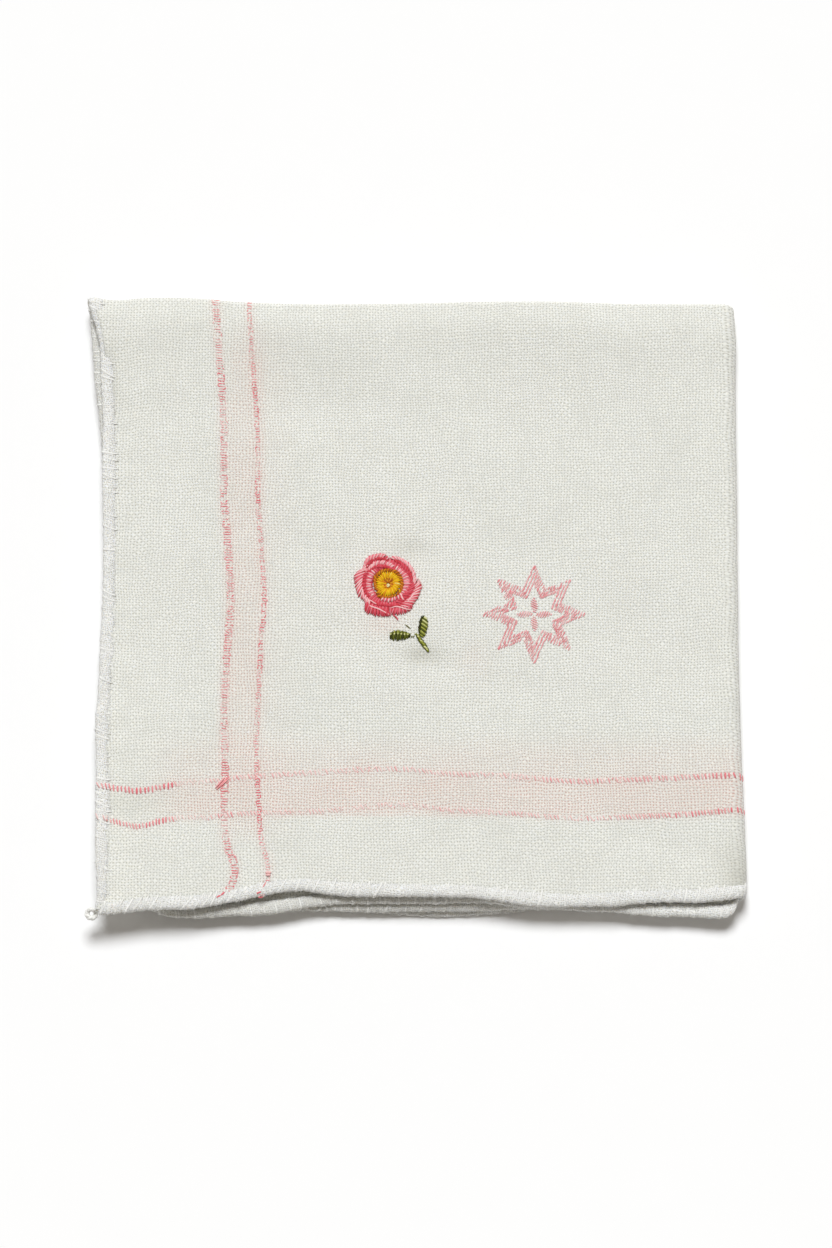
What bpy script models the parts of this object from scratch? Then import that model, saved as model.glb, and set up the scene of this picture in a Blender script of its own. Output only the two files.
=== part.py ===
"""A square linen handkerchief folded in four, with a rose and a star worked on its top layer.

The cloth is one sheet. It is folded down over a fold at the top of the view, and then across over a fold at
the right, so that four layers lie on each other. A point of the flat cloth is given by u, its distance along
the cloth from the fold at the right, v, its distance from the fold at the top, and w, its distance outward
from the middle of the sheet. Positive u is above the fold at the right, and positive v is the face that
shows. From the top, the layers are (+u, +v), (+u, -v), (-u, -v) and (-u, +v).

X runs to the right, Y to the fold at the top and Z up. The cloth lies on Z = 0. Sizes are in millimetres
until a mesh is made.
"""

import math

import bmesh
import bpy
import numpy as np

MM = 0.001

# The sheet and its stack of four layers
SHEET = 1.0
LAYER_GAP = 0.45
PAIR = 2 * SHEET + LAYER_GAP
STACK = 2 * PAIR + LAYER_GAP
PAIR_RADIUS = (SHEET + LAYER_GAP) / 2
STACK_RADIUS = (PAIR + LAYER_GAP) / 2

# The folded outline: each fold's crown, and the mean length of cloth from a fold to its hem
RIGHT_CROWN = 65.3
TOP_CROWN = 64.1
CLOTH_REACH = 128.0

# The hem, and how the stack loosens there and at its folds, as shares of its height
HEM_WIDTH = 2.6
HEM_ROUNDING = 0.5
HEM_EDGE_SHARE = 0.5
HEM_LOFT = 0.12
FOLD_LOFT = 0.10
HEM_LINE = -63.0
FOLD_LINE = 61.5
HEM_LOFT_WIDTH = 2.4
FOLD_LOFT_WIDTH = 5.0

# How far a lifted hem's rise reaches in from the hem, and the slow waves of the upper layers
FRONT_LIFT_REACH = 22.0
SIDE_LIFT_REACH = 20.0
WAVE_HEIGHT = 0.22
WAVE_LENGTH_X = 47.0
WAVE_LENGTH_Y = 71.0

# How much of a lift each layer takes, from the top one down
TOP_SHARE, SECOND_SHARE, THIRD_SHARE, BOTTOM_SHARE = 1.0, 0.45, 0.12, 0.0

# The mesh: steps round half of a fold, and along the flat cloth between its folds and hems
HALF_FOLD_STEPS = 4
FLAT_STEPS = 13
AFTER_FOLD = (2.5, 7.0)
BEFORE_HEM = 8.0

# Thread worked on the top layer
THREAD_GAP = 0.3
ROSE_CENTRE = (-4.9, 3.3)
ROSE_SIZE = (13.5, 13.3)
ROSE_SIDES = 40
ROSE_EYE_RADIUS = 2.75
ROSE_EYE_SIDES = 20
PETALS = 5
PETAL_TURN = 0.3
PETAL_DEPTH = 0.07
STAR_CENTRE = (24.3, -3.1)
STAR_TIP = 10.6
STAR_NOTCH = 5.75
STAR_STROKE = 1.7
STAR_POINTS = 8
HEART_TIP = 3.6
HEART_NOTCH = 1.2
HEART_POINTS = 4
LEAF_STEPS = 7
LEAF_BLUNTNESS = 0.04

# Thread's cross sections: each point's share of the way across, and its height above the thread's underside
PETAL_PROFILE = ((0.0, 0.0), (0.0, 0.45), (0.35, 0.9), (0.75, 0.8), (1.0, 0.35), (1.0, 0.0))
STROKE_PROFILE = ((0.0, 0.0), (0.0, 0.3), (0.5, 0.5), (1.0, 0.3), (1.0, 0.0))

# The same for a closed pad, with shares of its own outline
EYE_PROFILE = ((1.0, 0.0), (1.0, 0.5), (0.8, 0.85), (0.4, 1.0))
LEAF_PROFILE = ((1.0, 0.0), (1.0, 0.24), (0.55, 0.6))
HEART_PROFILE = ((1.0, 0.0), (1.0, 0.3), (0.5, 0.5))


def table(columns, *rows):
    """A short table: each column's name with its numbers."""
    numbers = np.array(rows, float).T
    return dict(zip(columns.split(), numbers))


# Where each layer's front hem lies
FRONT_HEMS = table(
    "x      top    second  third   bottom",
    (-66.0, -64.6, -60.0, -59.5, -59.0),
    (-58.0, -64.2, -63.6, -61.0, -60.5),
    (-52.0, -63.8, -64.8, -62.0, -61.5),
    (-42.0, -63.0, -64.8, -62.8, -62.2),
    (-34.0, -61.7, -64.6, -63.4, -62.8),
    (-28.0, -60.8, -64.3, -63.8, -63.1),
    (-22.0, -60.3, -63.2, -64.0, -63.3),
    (-14.0, -60.7, -62.6, -64.1, -63.4),
    (0.0, -60.8, -62.5, -64.0, -63.3),
    (14.0, -61.5, -62.7, -63.5, -62.8),
    (22.0, -62.6, -63.0, -63.1, -62.5),
    (30.0, -63.0, -63.3, -63.2, -62.6),
    (37.0, -62.8, -63.3, -63.4, -62.7),
    (45.0, -62.5, -63.9, -64.3, -63.3),
    (53.0, -62.3, -63.8, -64.1, -63.2),
    (60.0, -62.1, -64.0, -64.6, -62.8),
    (65.0, -61.9, -63.6, -63.6, -61.9),
)

# Where each layer's left hem lies
LEFT_HEMS = table(
    "y      top    second  third   bottom",
    (-65.0, -63.8, -51.8, -55.2, -54.2),
    (-60.0, -62.5, -53.6, -56.0, -55.0),
    (-52.0, -62.6, -56.6, -57.2, -56.4),
    (-40.0, -62.6, -59.2, -58.4, -57.6),
    (-25.0, -62.7, -60.3, -59.3, -58.6),
    (-10.0, -62.1, -60.6, -59.8, -59.2),
    (5.0, -61.9, -60.8, -60.2, -59.6),
    (20.0, -62.1, -61.2, -60.4, -59.9),
    (30.0, -62.2, -62.6, -60.8, -60.3),
    (38.0, -61.8, -63.6, -61.3, -60.9),
    (46.0, -61.6, -64.4, -61.9, -61.5),
    (52.0, -62.0, -64.9, -62.4, -62.0),
    (57.0, -63.1, -65.2, -62.8, -62.5),
    (61.0, -65.0, -65.6, -63.2, -63.0),
    (65.0, -66.0, -66.0, -63.6, -63.6),
)

# The line of the crown of each fold
TOP_FOLD = table(
    "x      y",
    (-66.0, 64.7),
    (-60.0, 64.4),
    (-56.0, 64.8),
    (-44.0, 64.8),
    (-36.0, 64.1),
    (-28.0, 63.7),
    (-8.0, 63.7),
    (30.0, 64.1),
    (45.0, 63.7),
    (64.0, 63.5),
)
RIGHT_FOLD = table(
    "y      x",
    (-65.0, 65.7),
    (-59.0, 65.9),
    (-47.0, 65.6),
    (-31.0, 65.2),
    (28.0, 65.2),
    (62.0, 65.4),
)

# How far the top layer stands off the stack, along the front hem and along the left one
FRONT_LIFT = table(
    "x      lift",
    (-66.0, 2.2),
    (-52.0, 2.0),
    (-42.0, 1.7),
    (-34.0, 1.5),
    (-22.0, 1.3),
    (-10.0, 0.8),
    (6.0, 0.4),
    (22.0, 0.15),
    (40.0, 0.3),
    (62.0, 0.15),
)
LEFT_LIFT = table(
    "y      lift",
    (-60.0, 0.2),
    (-40.0, 0.9),
    (-10.0, 0.5),
    (20.0, 0.2),
    (45.0, 0.45),
    (62.0, 0.2),
)


def along(rows, column, at):
    """Read a smooth curve through one column of a table, held level past its ends."""
    places = next(iter(rows.values()))
    values = rows[column]
    slopes = np.gradient(values, places)
    at = np.clip(at, places[0], places[-1])
    row = np.clip(np.searchsorted(places, at) - 1, 0, len(places) - 2)
    span = places[row + 1] - places[row]
    t = (at - places[row]) / span
    start = (1 + 2 * t) * (1 - t) ** 2 * values[row] + t * (1 - t) ** 2 * span * slopes[row]
    end = t**2 * (3 - 2 * t) * values[row + 1] + t**2 * (t - 1) * span * slopes[row + 1]
    return start + end


def ease(t):
    """Rise smoothly from 0 to 1."""
    t = np.clip(t, 0.0, 1.0)
    return t * t * (3 - 2 * t)


def near(place, line, width):
    """1 on a line, fading to nothing a few widths from it."""
    return np.exp(-(((place - line) / width) ** 2))


def quarter_turn(radius):
    return math.pi * radius / 2


# On a flat run, a plan coordinate and its distance along the cloth add up to these
SUM_X = RIGHT_CROWN - STACK / 2 + quarter_turn(STACK_RADIUS)
SUM_Y = TOP_CROWN - PAIR / 2 + quarter_turn(PAIR_RADIUS)


def bent(path, offset, radius):
    """Bend a run of cloth half round an axis, and return how far it lies past the axis and over it."""
    quarter = quarter_turn(radius)
    angle = np.clip(path, -quarter, quarter) / radius
    run = np.maximum(np.abs(path) - quarter, 0.0)
    return (radius + offset) * np.cos(angle) - run, (radius + offset) * np.sin(angle)


def by_layer(u, v, top, second, third, bottom):
    """Take each layer's own value, blended round the folds."""
    above = ease(0.5 + u / quarter_turn(STACK_RADIUS) / 2)
    face = ease(0.5 + v / quarter_turn(PAIR_RADIUS) / 2)
    return above * (face * top + (1 - face) * second) + (1 - above) * (face * bottom + (1 - face) * third)


def layer_rows(rows, u, v, at):
    """Read a table that has a column for each layer."""
    return by_layer(u, v, *(along(rows, name, at) for name in ("top", "second", "third", "bottom")))


def loft(x, y):
    """How much thicker than flat cloth the stack is, as a share: it is looser at its hems and folds."""
    hem = np.maximum(near(x, HEM_LINE, HEM_LOFT_WIDTH), near(y, HEM_LINE, HEM_LOFT_WIDTH))
    fold = np.maximum(near(x, FOLD_LINE, FOLD_LOFT_WIDTH), near(y, FOLD_LINE, FOLD_LOFT_WIDTH))
    return HEM_LOFT * hem + FOLD_LOFT * fold


def lift(x, y):
    """How far the top layer stands off: its front and left hems, most at their corner, and its slow waves."""
    front = along(FRONT_LIFT, "lift", x) * near(y, HEM_LINE, FRONT_LIFT_REACH)
    side = along(LEFT_LIFT, "lift", y) * near(x, HEM_LINE, SIDE_LIFT_REACH)
    wave = np.sin(math.tau * (x / WAVE_LENGTH_X + y / WAVE_LENGTH_Y)) * np.cos(math.tau * y / WAVE_LENGTH_Y)
    return front + side + WAVE_HEIGHT * (1 + wave)


def folded(u, v, w):
    """Where a point of the flat cloth lies once the cloth is folded."""
    back, height = bent(v, w, PAIR_RADIUS)
    right, height = bent(u, height, STACK_RADIUS)
    x = RIGHT_CROWN - STACK / 2 + right
    y = TOP_CROWN - PAIR / 2 + back
    share = by_layer(u, v, TOP_SHARE, SECOND_SHARE, THIRD_SHARE, BOTTOM_SHARE)
    z = (height + STACK / 2) * (1 + loft(x, y)) + share * lift(x, y)
    right_shift = (along(RIGHT_FOLD, "x", y) - RIGHT_CROWN) * ease(x / RIGHT_CROWN)
    back_shift = (along(TOP_FOLD, "y", x) - TOP_CROWN) * ease(y / TOP_CROWN)
    return np.stack([x + right_shift, y + back_shift, z], axis=-1)


def on_top(x, y, above):
    """A point at a plan position on the top layer, a given height above its face."""
    return folded(SUM_X - x, SUM_Y - y, SHEET / 2 + above)


def stations(radius):
    """Where the mesh has its points along the cloth, from one hem to the fold and on to the other hem."""
    quarter = quarter_turn(radius)
    turn = np.linspace(0, quarter, HALF_FOLD_STEPS + 1)
    after = quarter + np.array(AFTER_FOLD)
    flat = np.linspace(after[-1], CLOTH_REACH - BEFORE_HEM, FLAT_STEPS + 1)[1:]
    hem = CLOTH_REACH - np.array([HEM_WIDTH, HEM_ROUNDING, 0.0])
    side = np.concatenate([turn, after, flat, hem])
    return np.concatenate([-side[:0:-1], side])


def stretched(path, end):
    """Move the mesh's points so that the cloth ends at its own hem, leaving the fold as it is."""
    start = AFTER_FOLD[-1]
    return np.sign(path) * (
        np.abs(path) + (end - CLOTH_REACH) * ease((np.abs(path) - start) / (CLOTH_REACH - start))
    )


def cloth_mesh():
    """The whole sheet as two skins, joined along its hem."""
    u, v = np.meshgrid(stations(STACK_RADIUS), stations(PAIR_RADIUS), indexing="ij")
    plan_x = SUM_X - np.abs(u)
    plan_y = SUM_Y - np.abs(v)
    edge = np.maximum(np.abs(u), np.abs(v)) > CLOTH_REACH - HEM_ROUNDING / 2
    half = SHEET / 2 * np.where(edge, HEM_EDGE_SHARE, 1.0)
    own_u = stretched(u, SUM_X - layer_rows(LEFT_HEMS, u, v, plan_y))
    own_v = stretched(v, SUM_Y - layer_rows(FRONT_HEMS, u, v, plan_x))
    points = np.concatenate([folded(own_u, own_v, side * half).reshape(-1, 3) for side in (1, -1)])
    across, down = u.shape
    number = np.arange(across * down).reshape(across, down)
    skin = np.stack([number[:-1, :-1], number[1:, :-1], number[1:, 1:], number[:-1, 1:]], -1).reshape(-1, 4)
    under = skin[:, ::-1] + number.size
    rim = np.concatenate([number[:-1, 0], number[-1, :-1], number[:0:-1, -1], number[0, :0:-1]])
    after = np.roll(rim, -1)
    wall = np.stack([after, rim, rim + number.size, after + number.size], -1)
    return points, np.concatenate([skin, under, wall])


def pad_mesh(loops, ring=False):
    """Thread worked on the top layer: a skin through level loops of plan points and heights, bottom first.

    A ring's last loop joins its first. Any other pad is closed by a point in the middle of its end loops.
    """
    loops = np.asarray(loops, float)
    count, sides = loops.shape[:2]
    number = np.arange(count * sides).reshape(count, sides)
    if ring:
        number = np.vstack([number, number[:1]])
    beside = np.roll(number, -1, axis=1)
    faces = np.stack([number[:-1], beside[:-1], beside[1:], number[1:]], -1).reshape(-1, 4).tolist()
    if not ring:
        loops = np.vstack([loops.reshape(-1, 3), loops[0].mean(0), loops[-1].mean(0)])
        low, high = len(loops) - 2, len(loops) - 1
        faces += [[b, a, low] for a, b in zip(number[0], beside[0])]
        faces += [[a, b, high] for a, b in zip(number[-1], beside[-1])]
    x, y, above = loops.reshape(-1, 3).T
    return on_top(x, y, THREAD_GAP + above), faces


def loop(centre, radii, angles, above):
    """A level loop of plan points round a centre, at a height above the thread's underside."""
    x = centre[0] + radii * np.cos(angles)
    y = centre[1] + radii * np.sin(angles)
    return np.stack([x, y, np.full_like(x, above)], -1)


def rose_petals():
    """The ring of petals: five broad lobes, highest in the middle of the ring."""
    angles = np.linspace(0, math.tau, ROSE_SIDES, endpoint=False)
    lobes = 1 - PETAL_DEPTH * (1 - np.abs(np.cos(PETALS / 2 * (angles - PETAL_TURN))))
    width, depth = ROSE_SIZE
    rim = lobes * width * depth / 2 / np.hypot(depth * np.cos(angles), width * np.sin(angles))
    hole = np.full_like(angles, ROSE_EYE_RADIUS + THREAD_GAP)
    loops = [
        loop(ROSE_CENTRE, hole + share * (rim - hole), angles, above)
        for share, above in PETAL_PROFILE
    ]
    return pad_mesh(loops, ring=True)


def rose_eye():
    """The yellow centre: a low dome inside the petals."""
    angles = np.linspace(0, math.tau, ROSE_EYE_SIDES, endpoint=False)
    eye = np.full_like(angles, ROSE_EYE_RADIUS)
    return pad_mesh([loop(ROSE_CENTRE, share * eye, angles, above) for share, above in EYE_PROFILE])


def leaf(from_x, from_y, to_x, to_y, width):
    """A leaf or the stem: a lens from one plan point to another, with its width across its middle."""
    run = np.linspace(0, 1, LEAF_STEPS)
    half = width / 2 * np.sqrt(np.sin(math.pi * (LEAF_BLUNTNESS + (1 - 2 * LEAF_BLUNTNESS) * run)))
    start = np.array([from_x, from_y])
    forward = np.array([to_x, to_y]) - start
    sideways = np.array([forward[1], -forward[0]]) / np.hypot(*forward)
    middle = start + run[:, None] * forward
    rim = np.concatenate([middle + half[:, None] * sideways, (middle - half[:, None] * sideways)[::-1]])
    centre = rim.mean(0)
    loops = []
    for share, above in LEAF_PROFILE:
        plan = centre + share * (rim - centre)
        loops.append(np.column_stack([plan, np.full(len(plan), above)]))
    return pad_mesh(loops)


def star_ring():
    """The star's outline: one stroke of thread that turns at each tip and notch."""
    angles = np.linspace(0, math.tau, 2 * STAR_POINTS, endpoint=False)
    outer = np.where(np.arange(2 * STAR_POINTS) % 2 == 0, STAR_TIP, STAR_NOTCH)
    # The inner edge is the outer one made smaller, by as much as keeps the stroke its width along each side
    half_step = math.pi / STAR_POINTS
    side = math.hypot(STAR_TIP - STAR_NOTCH * math.cos(half_step), STAR_NOTCH * math.sin(half_step))
    tip_inward = STAR_STROKE * side / (STAR_NOTCH * math.sin(half_step))
    inner = outer * (1 - tip_inward / STAR_TIP)
    loops = [
        loop(STAR_CENTRE, outer + share * (inner - outer), angles, above)
        for share, above in STROKE_PROFILE
    ]
    return pad_mesh(loops, ring=True)


def star_heart():
    """Four small petals in the middle of the star."""
    angles = np.linspace(0, math.tau, 2 * HEART_POINTS, endpoint=False)
    radii = np.where(np.arange(2 * HEART_POINTS) % 2 == 0, HEART_TIP, HEART_NOTCH)
    return pad_mesh([loop(STAR_CENTRE, share * radii, angles, above) for share, above in HEART_PROFILE])


# The cloth's colour and the threads' colours
PINK = (0.72, 0.13, 0.21)
PALE_PINK = (0.80, 0.27, 0.33)
YELLOW = (0.85, 0.52, 0.02)
GREEN = (0.12, 0.17, 0.02)
LINEN = (0.78, 0.79, 0.74)


def pieces():
    """Each piece's name, its points and faces, and its colour."""
    yield "cloth", cloth_mesh(), LINEN
    yield "rose_petals", rose_petals(), PINK
    yield "rose_centre", rose_eye(), YELLOW
    yield "leaf_low", leaf(from_x=-4.5, from_y=-7.4, to_x=-0.3, to_y=-7.8, width=1.9), GREEN
    yield "leaf_tall", leaf(from_x=1.5, from_y=-7.5, to_x=2.7, to_y=-3.4, width=1.7), GREEN
    yield "stem", leaf(from_x=1.2, from_y=-8.3, to_x=3.2, to_y=-10.9, width=0.8), GREEN
    yield "star_ring", star_ring(), PALE_PINK
    yield "star_heart", star_heart(), PALE_PINK


def material(name, colour):
    """A matt thread or cloth finish."""
    made = bpy.data.materials.new(name)
    made.use_nodes = True
    shader = made.node_tree.nodes["Principled BSDF"]
    shader.inputs["Base Color"].default_value = (*colour, 1.0)
    shader.inputs["Roughness"].default_value = 0.85
    shader.inputs["Metallic"].default_value = 0.0
    return made


def add_object(name, points, faces, colour):
    mesh = bpy.data.meshes.new(name)
    mesh.from_pydata((points * MM).tolist(), [], [list(map(int, face)) for face in faces])
    shape = bmesh.new()
    shape.from_mesh(mesh)
    bmesh.ops.recalc_face_normals(shape, faces=shape.faces)
    shape.to_mesh(mesh)
    shape.free()
    mesh.shade_smooth()
    mesh.set_sharp_from_angle(angle=math.radians(40))
    mesh.materials.append(material(name, colour))
    bpy.context.collection.objects.link(bpy.data.objects.new(name, mesh))


def main():
    for thing in list(bpy.data.objects):
        bpy.data.objects.remove(thing)
    made = list(pieces())
    every = np.concatenate([points for _, (points, _), _ in made])
    low, high = every.min(0), every.max(0)
    origin = np.array([(low[0] + high[0]) / 2, (low[1] + high[1]) / 2, low[2]])
    for name, (points, faces), colour in made:
        add_object(name, points - origin, faces, colour)


main()
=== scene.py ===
"""A linen handkerchief folded in four, with a whipped hem, pink border lines, a rose and a star.

The cloth is one square, folded down over the top fold and then across over the right fold. A point of the
flat square is given by u, its distance along the cloth from the right fold, v, its distance from the top
fold, and w, its distance outward from the middle of the sheet. One fold map carries the sheet, its rolled
hem, the border lines and the thread on the top layer, so that all of them follow the same folds. Sizes are
in millimetres until a mesh is made.
"""

from __future__ import annotations

import logging
import math
from dataclasses import dataclass, field
from enum import Enum

import bpy
import numpy as np
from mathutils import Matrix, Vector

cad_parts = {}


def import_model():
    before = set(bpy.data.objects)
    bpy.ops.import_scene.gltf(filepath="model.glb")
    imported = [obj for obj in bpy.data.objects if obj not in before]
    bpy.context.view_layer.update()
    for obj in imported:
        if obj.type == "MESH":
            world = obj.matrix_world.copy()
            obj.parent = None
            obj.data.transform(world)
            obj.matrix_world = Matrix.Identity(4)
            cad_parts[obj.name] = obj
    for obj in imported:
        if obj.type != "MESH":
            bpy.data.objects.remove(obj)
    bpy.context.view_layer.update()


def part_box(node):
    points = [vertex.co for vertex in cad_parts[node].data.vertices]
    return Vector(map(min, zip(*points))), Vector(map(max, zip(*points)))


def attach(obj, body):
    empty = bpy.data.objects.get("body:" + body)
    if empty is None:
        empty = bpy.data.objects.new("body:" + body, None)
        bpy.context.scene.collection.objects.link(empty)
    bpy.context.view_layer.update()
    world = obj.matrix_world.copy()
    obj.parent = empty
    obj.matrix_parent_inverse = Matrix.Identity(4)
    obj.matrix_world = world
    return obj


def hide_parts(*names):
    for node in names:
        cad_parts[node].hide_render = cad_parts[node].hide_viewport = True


LOG = logging.getLogger("handkerchief")
MM = 0.001
SEED = 41
TABLE_CLEARANCE = 0.02
Array = np.ndarray
Rng = np.random.Generator
Material = bpy.types.Material
Socket = bpy.types.NodeSocket
Tree = bpy.types.NodeTree
Pair = tuple[float, float]
Three = tuple[float, float, float]
Four = tuple[float, float, float, float]
Colour = Three
Spots = tuple[tuple[float, float, float, float, float], ...]


def ease(t: Array) -> Array:
    """Rise smoothly from 0 to 1: three squares of t less two cubes, for t held between 0 and 1."""
    t = np.clip(t, 0.0, 1.0)
    return t * t * (3 - 2 * t)


def near(place: Array, line: Array | float, width: Array | float) -> Array:
    """1 on a line, fading as a bell curve to nothing a few widths from it."""
    return np.exp(-(((place - line) / width) ** 2))


def unit(vectors: Array) -> Array:
    """Each vector divided by its own length."""
    return vectors / np.maximum(np.linalg.norm(vectors, axis=-1, keepdims=True), 1e-12)


def between(place: Array, low: float, rise: float, high: float, fall: float) -> Array:
    """1 inside a strip, easing to nothing at its low edge and at its high one."""
    return ease((place - low) / rise) * ease((high - place) / fall)


def meander(place: Array, length: float, sway: float, other: Array, period: float) -> Array:
    """A sine wave along one place, whose phase sways with the sine of another."""
    return np.sin(place / length + sway * np.sin(other / period))


def swell(share: Array, least: float) -> Array:
    """Rise from a least share near both ends to 1 in the middle, by the square root of a half sine wave."""
    return least + (1 - least) * np.sqrt(np.sin(math.pi * (0.02 + 0.96 * share)))


def by_turns(count: int) -> Array:
    """1 and -1 by turns, for stitches with painted highlight and painted shade."""
    return np.where(np.arange(count) % 2 == 0, 1.0, -1.0)


def spotted(spots: Spots, x: Array, y: Array) -> Array:
    """Add up soft oval spots, each its strength times one bell curve across and one along.

    Args:
        spots: Each spot's plan place, its reach both ways and its strength.
        x: Plan places across.
        y: Plan places along.

    Returns:
        The sum at each place.
    """
    return sum(
        share * near(x, across, reach_x) * near(y, along, reach_y)
        for across, along, reach_x, reach_y, share in spots
    )


@dataclass(frozen=True)
class SmoothTable:
    """Numbers given at uneven places, read as smooth curves.

    A row is a place and then its values.
    """

    names: str
    rows: tuple[tuple[float, ...], ...]

    def read(self, name: str, at: Array) -> Array:
        """Read one curve, held level past its ends.

        Between two rows it is a cubic whose slope at each row is the mean slope there.

        Args:
            name: The column to read.
            at: The places to read it at.

        Returns:
            The curve's value at each place.
        """
        table = np.array(self.rows, float)
        places, values = table[:, 0], table[:, 1 + self.names.split().index(name)]
        slopes = np.gradient(values, places)
        at = np.clip(at, places[0], places[-1])
        row = np.clip(np.searchsorted(places, at) - 1, 0, len(places) - 2)
        span = places[row + 1] - places[row]
        t = (at - places[row]) / span
        start = (1 + 2 * t) * (1 - t) ** 2 * values[row] + t * (1 - t) ** 2 * span * slopes[row]
        end = t**2 * (3 - 2 * t) * values[row + 1] + t**2 * (t - 1) * span * slopes[row + 1]
        return start + end


# Where each layer's front hem lies, by x
FRONT_HEMS = SmoothTable(
    "top second third bottom",
    (
        (-66, -65.9, -60.6, -59.5, -59),
        (-58, -65.3, -64.6, -61, -60.5),
        (-52, -64.5, -65.1, -62, -61.5),
        (-42, -63.9, -64.7, -62.6, -62.2),
        (-34, -62.4, -64.2, -63, -62.5),
        (-28, -60.9, -63.3, -63.2, -62.8),
        (-22, -60.3, -62.4, -63.4, -63),
        (-14, -61.1, -62.2, -63.5, -63.4),
        (0, -61.5, -62.2, -63.3, -64),
        (14, -61.9, -62.4, -63.3, -63.5),
        (22, -63, -63.2, -63, -62.7),
        (30, -63.4, -63.6, -63.1, -62.6),
        (37, -63.3, -63.9, -63.2, -62.7),
        (45, -62.7, -64.7, -63.6, -63),
        (53, -62.5, -64.8, -63.4, -62.8),
        (58.5, -62.3, -65.1, -63.2, -62.6),
        (61.5, -62, -65.1, -62.6, -62),
        (63.4, -61.6, -64.1, -61.8, -61.5),
        (65, -60.9, -62.5, -61.1, -60.9),
    ),
)

# Where each layer's left hem lies, by y
LEFT_HEMS = SmoothTable(
    "top second third bottom",
    (
        (-65, -63.8, -54.2, -55.2, -54.2),
        (-60, -62.2, -55.6, -56, -55),
        (-52, -62.3, -56.6, -57.2, -56.4),
        (-40, -62.4, -59.2, -58.4, -57.6),
        (-25, -62.7, -60.3, -59.3, -58.6),
        (-10, -62.1, -60.6, -59.8, -59.2),
        (5, -61.9, -60.8, -60.2, -59.6),
        (20, -62.1, -61.2, -60.4, -59.9),
        (30, -62.3, -62.3, -60.8, -60.3),
        (38, -62.5, -63.1, -61.3, -60.9),
        (46, -62.8, -64.2, -61.9, -61.5),
        (52, -63.2, -64.8, -62.4, -62),
        (57, -64, -65.2, -62.8, -62.5),
        (61, -65.2, -65.6, -63.2, -63),
        (65, -66, -66, -63.6, -63.6),
    ),
)

# The line of each fold's crown
TOP_FOLD = SmoothTable(
    "y",
    (
        (-66, 64.7),
        (-60, 64.4),
        (-56, 64.8),
        (-44, 64.8),
        (-36, 64.1),
        (-28, 63.7),
        (-8, 63.7),
        (30, 64.1),
        (45, 63.7),
        (64, 63.5),
    ),
)
RIGHT_FOLD = SmoothTable(
    "x", ((-65.0, 65.7), (-59.0, 65.9), (-47.0, 65.6), (-31.0, 65.2), (28.0, 65.2), (62.0, 65.4))
)

# Along the front hem, by x: how far the top layer stands off the stack, and how much thicker the stack is
FRONT_LIFT = SmoothTable(
    "lift loft",
    (
        (-66, 1.9, 0.06),
        (-52, 1.5, 0),
        (-42, 1, 0),
        (-34, 0.7, 0),
        (-22, 0.5, 0),
        (-10, 0.5, 0),
        (6, 0.45, 0),
        (22, 0.3, 0),
        (40, 0.3, -0.08),
        (52, 0.2, -0.22),
        (62, 0.1, -0.30),
    ),
)

# How far the top layer stands off along the left hem, by y
LEFT_LIFT = SmoothTable(
    "lift", ((-60.0, 0.2), (-40.0, 0.9), (-10.0, 0.5), (20.0, 0.2), (45.0, 0.2), (62.0, 0.1))
)


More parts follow.
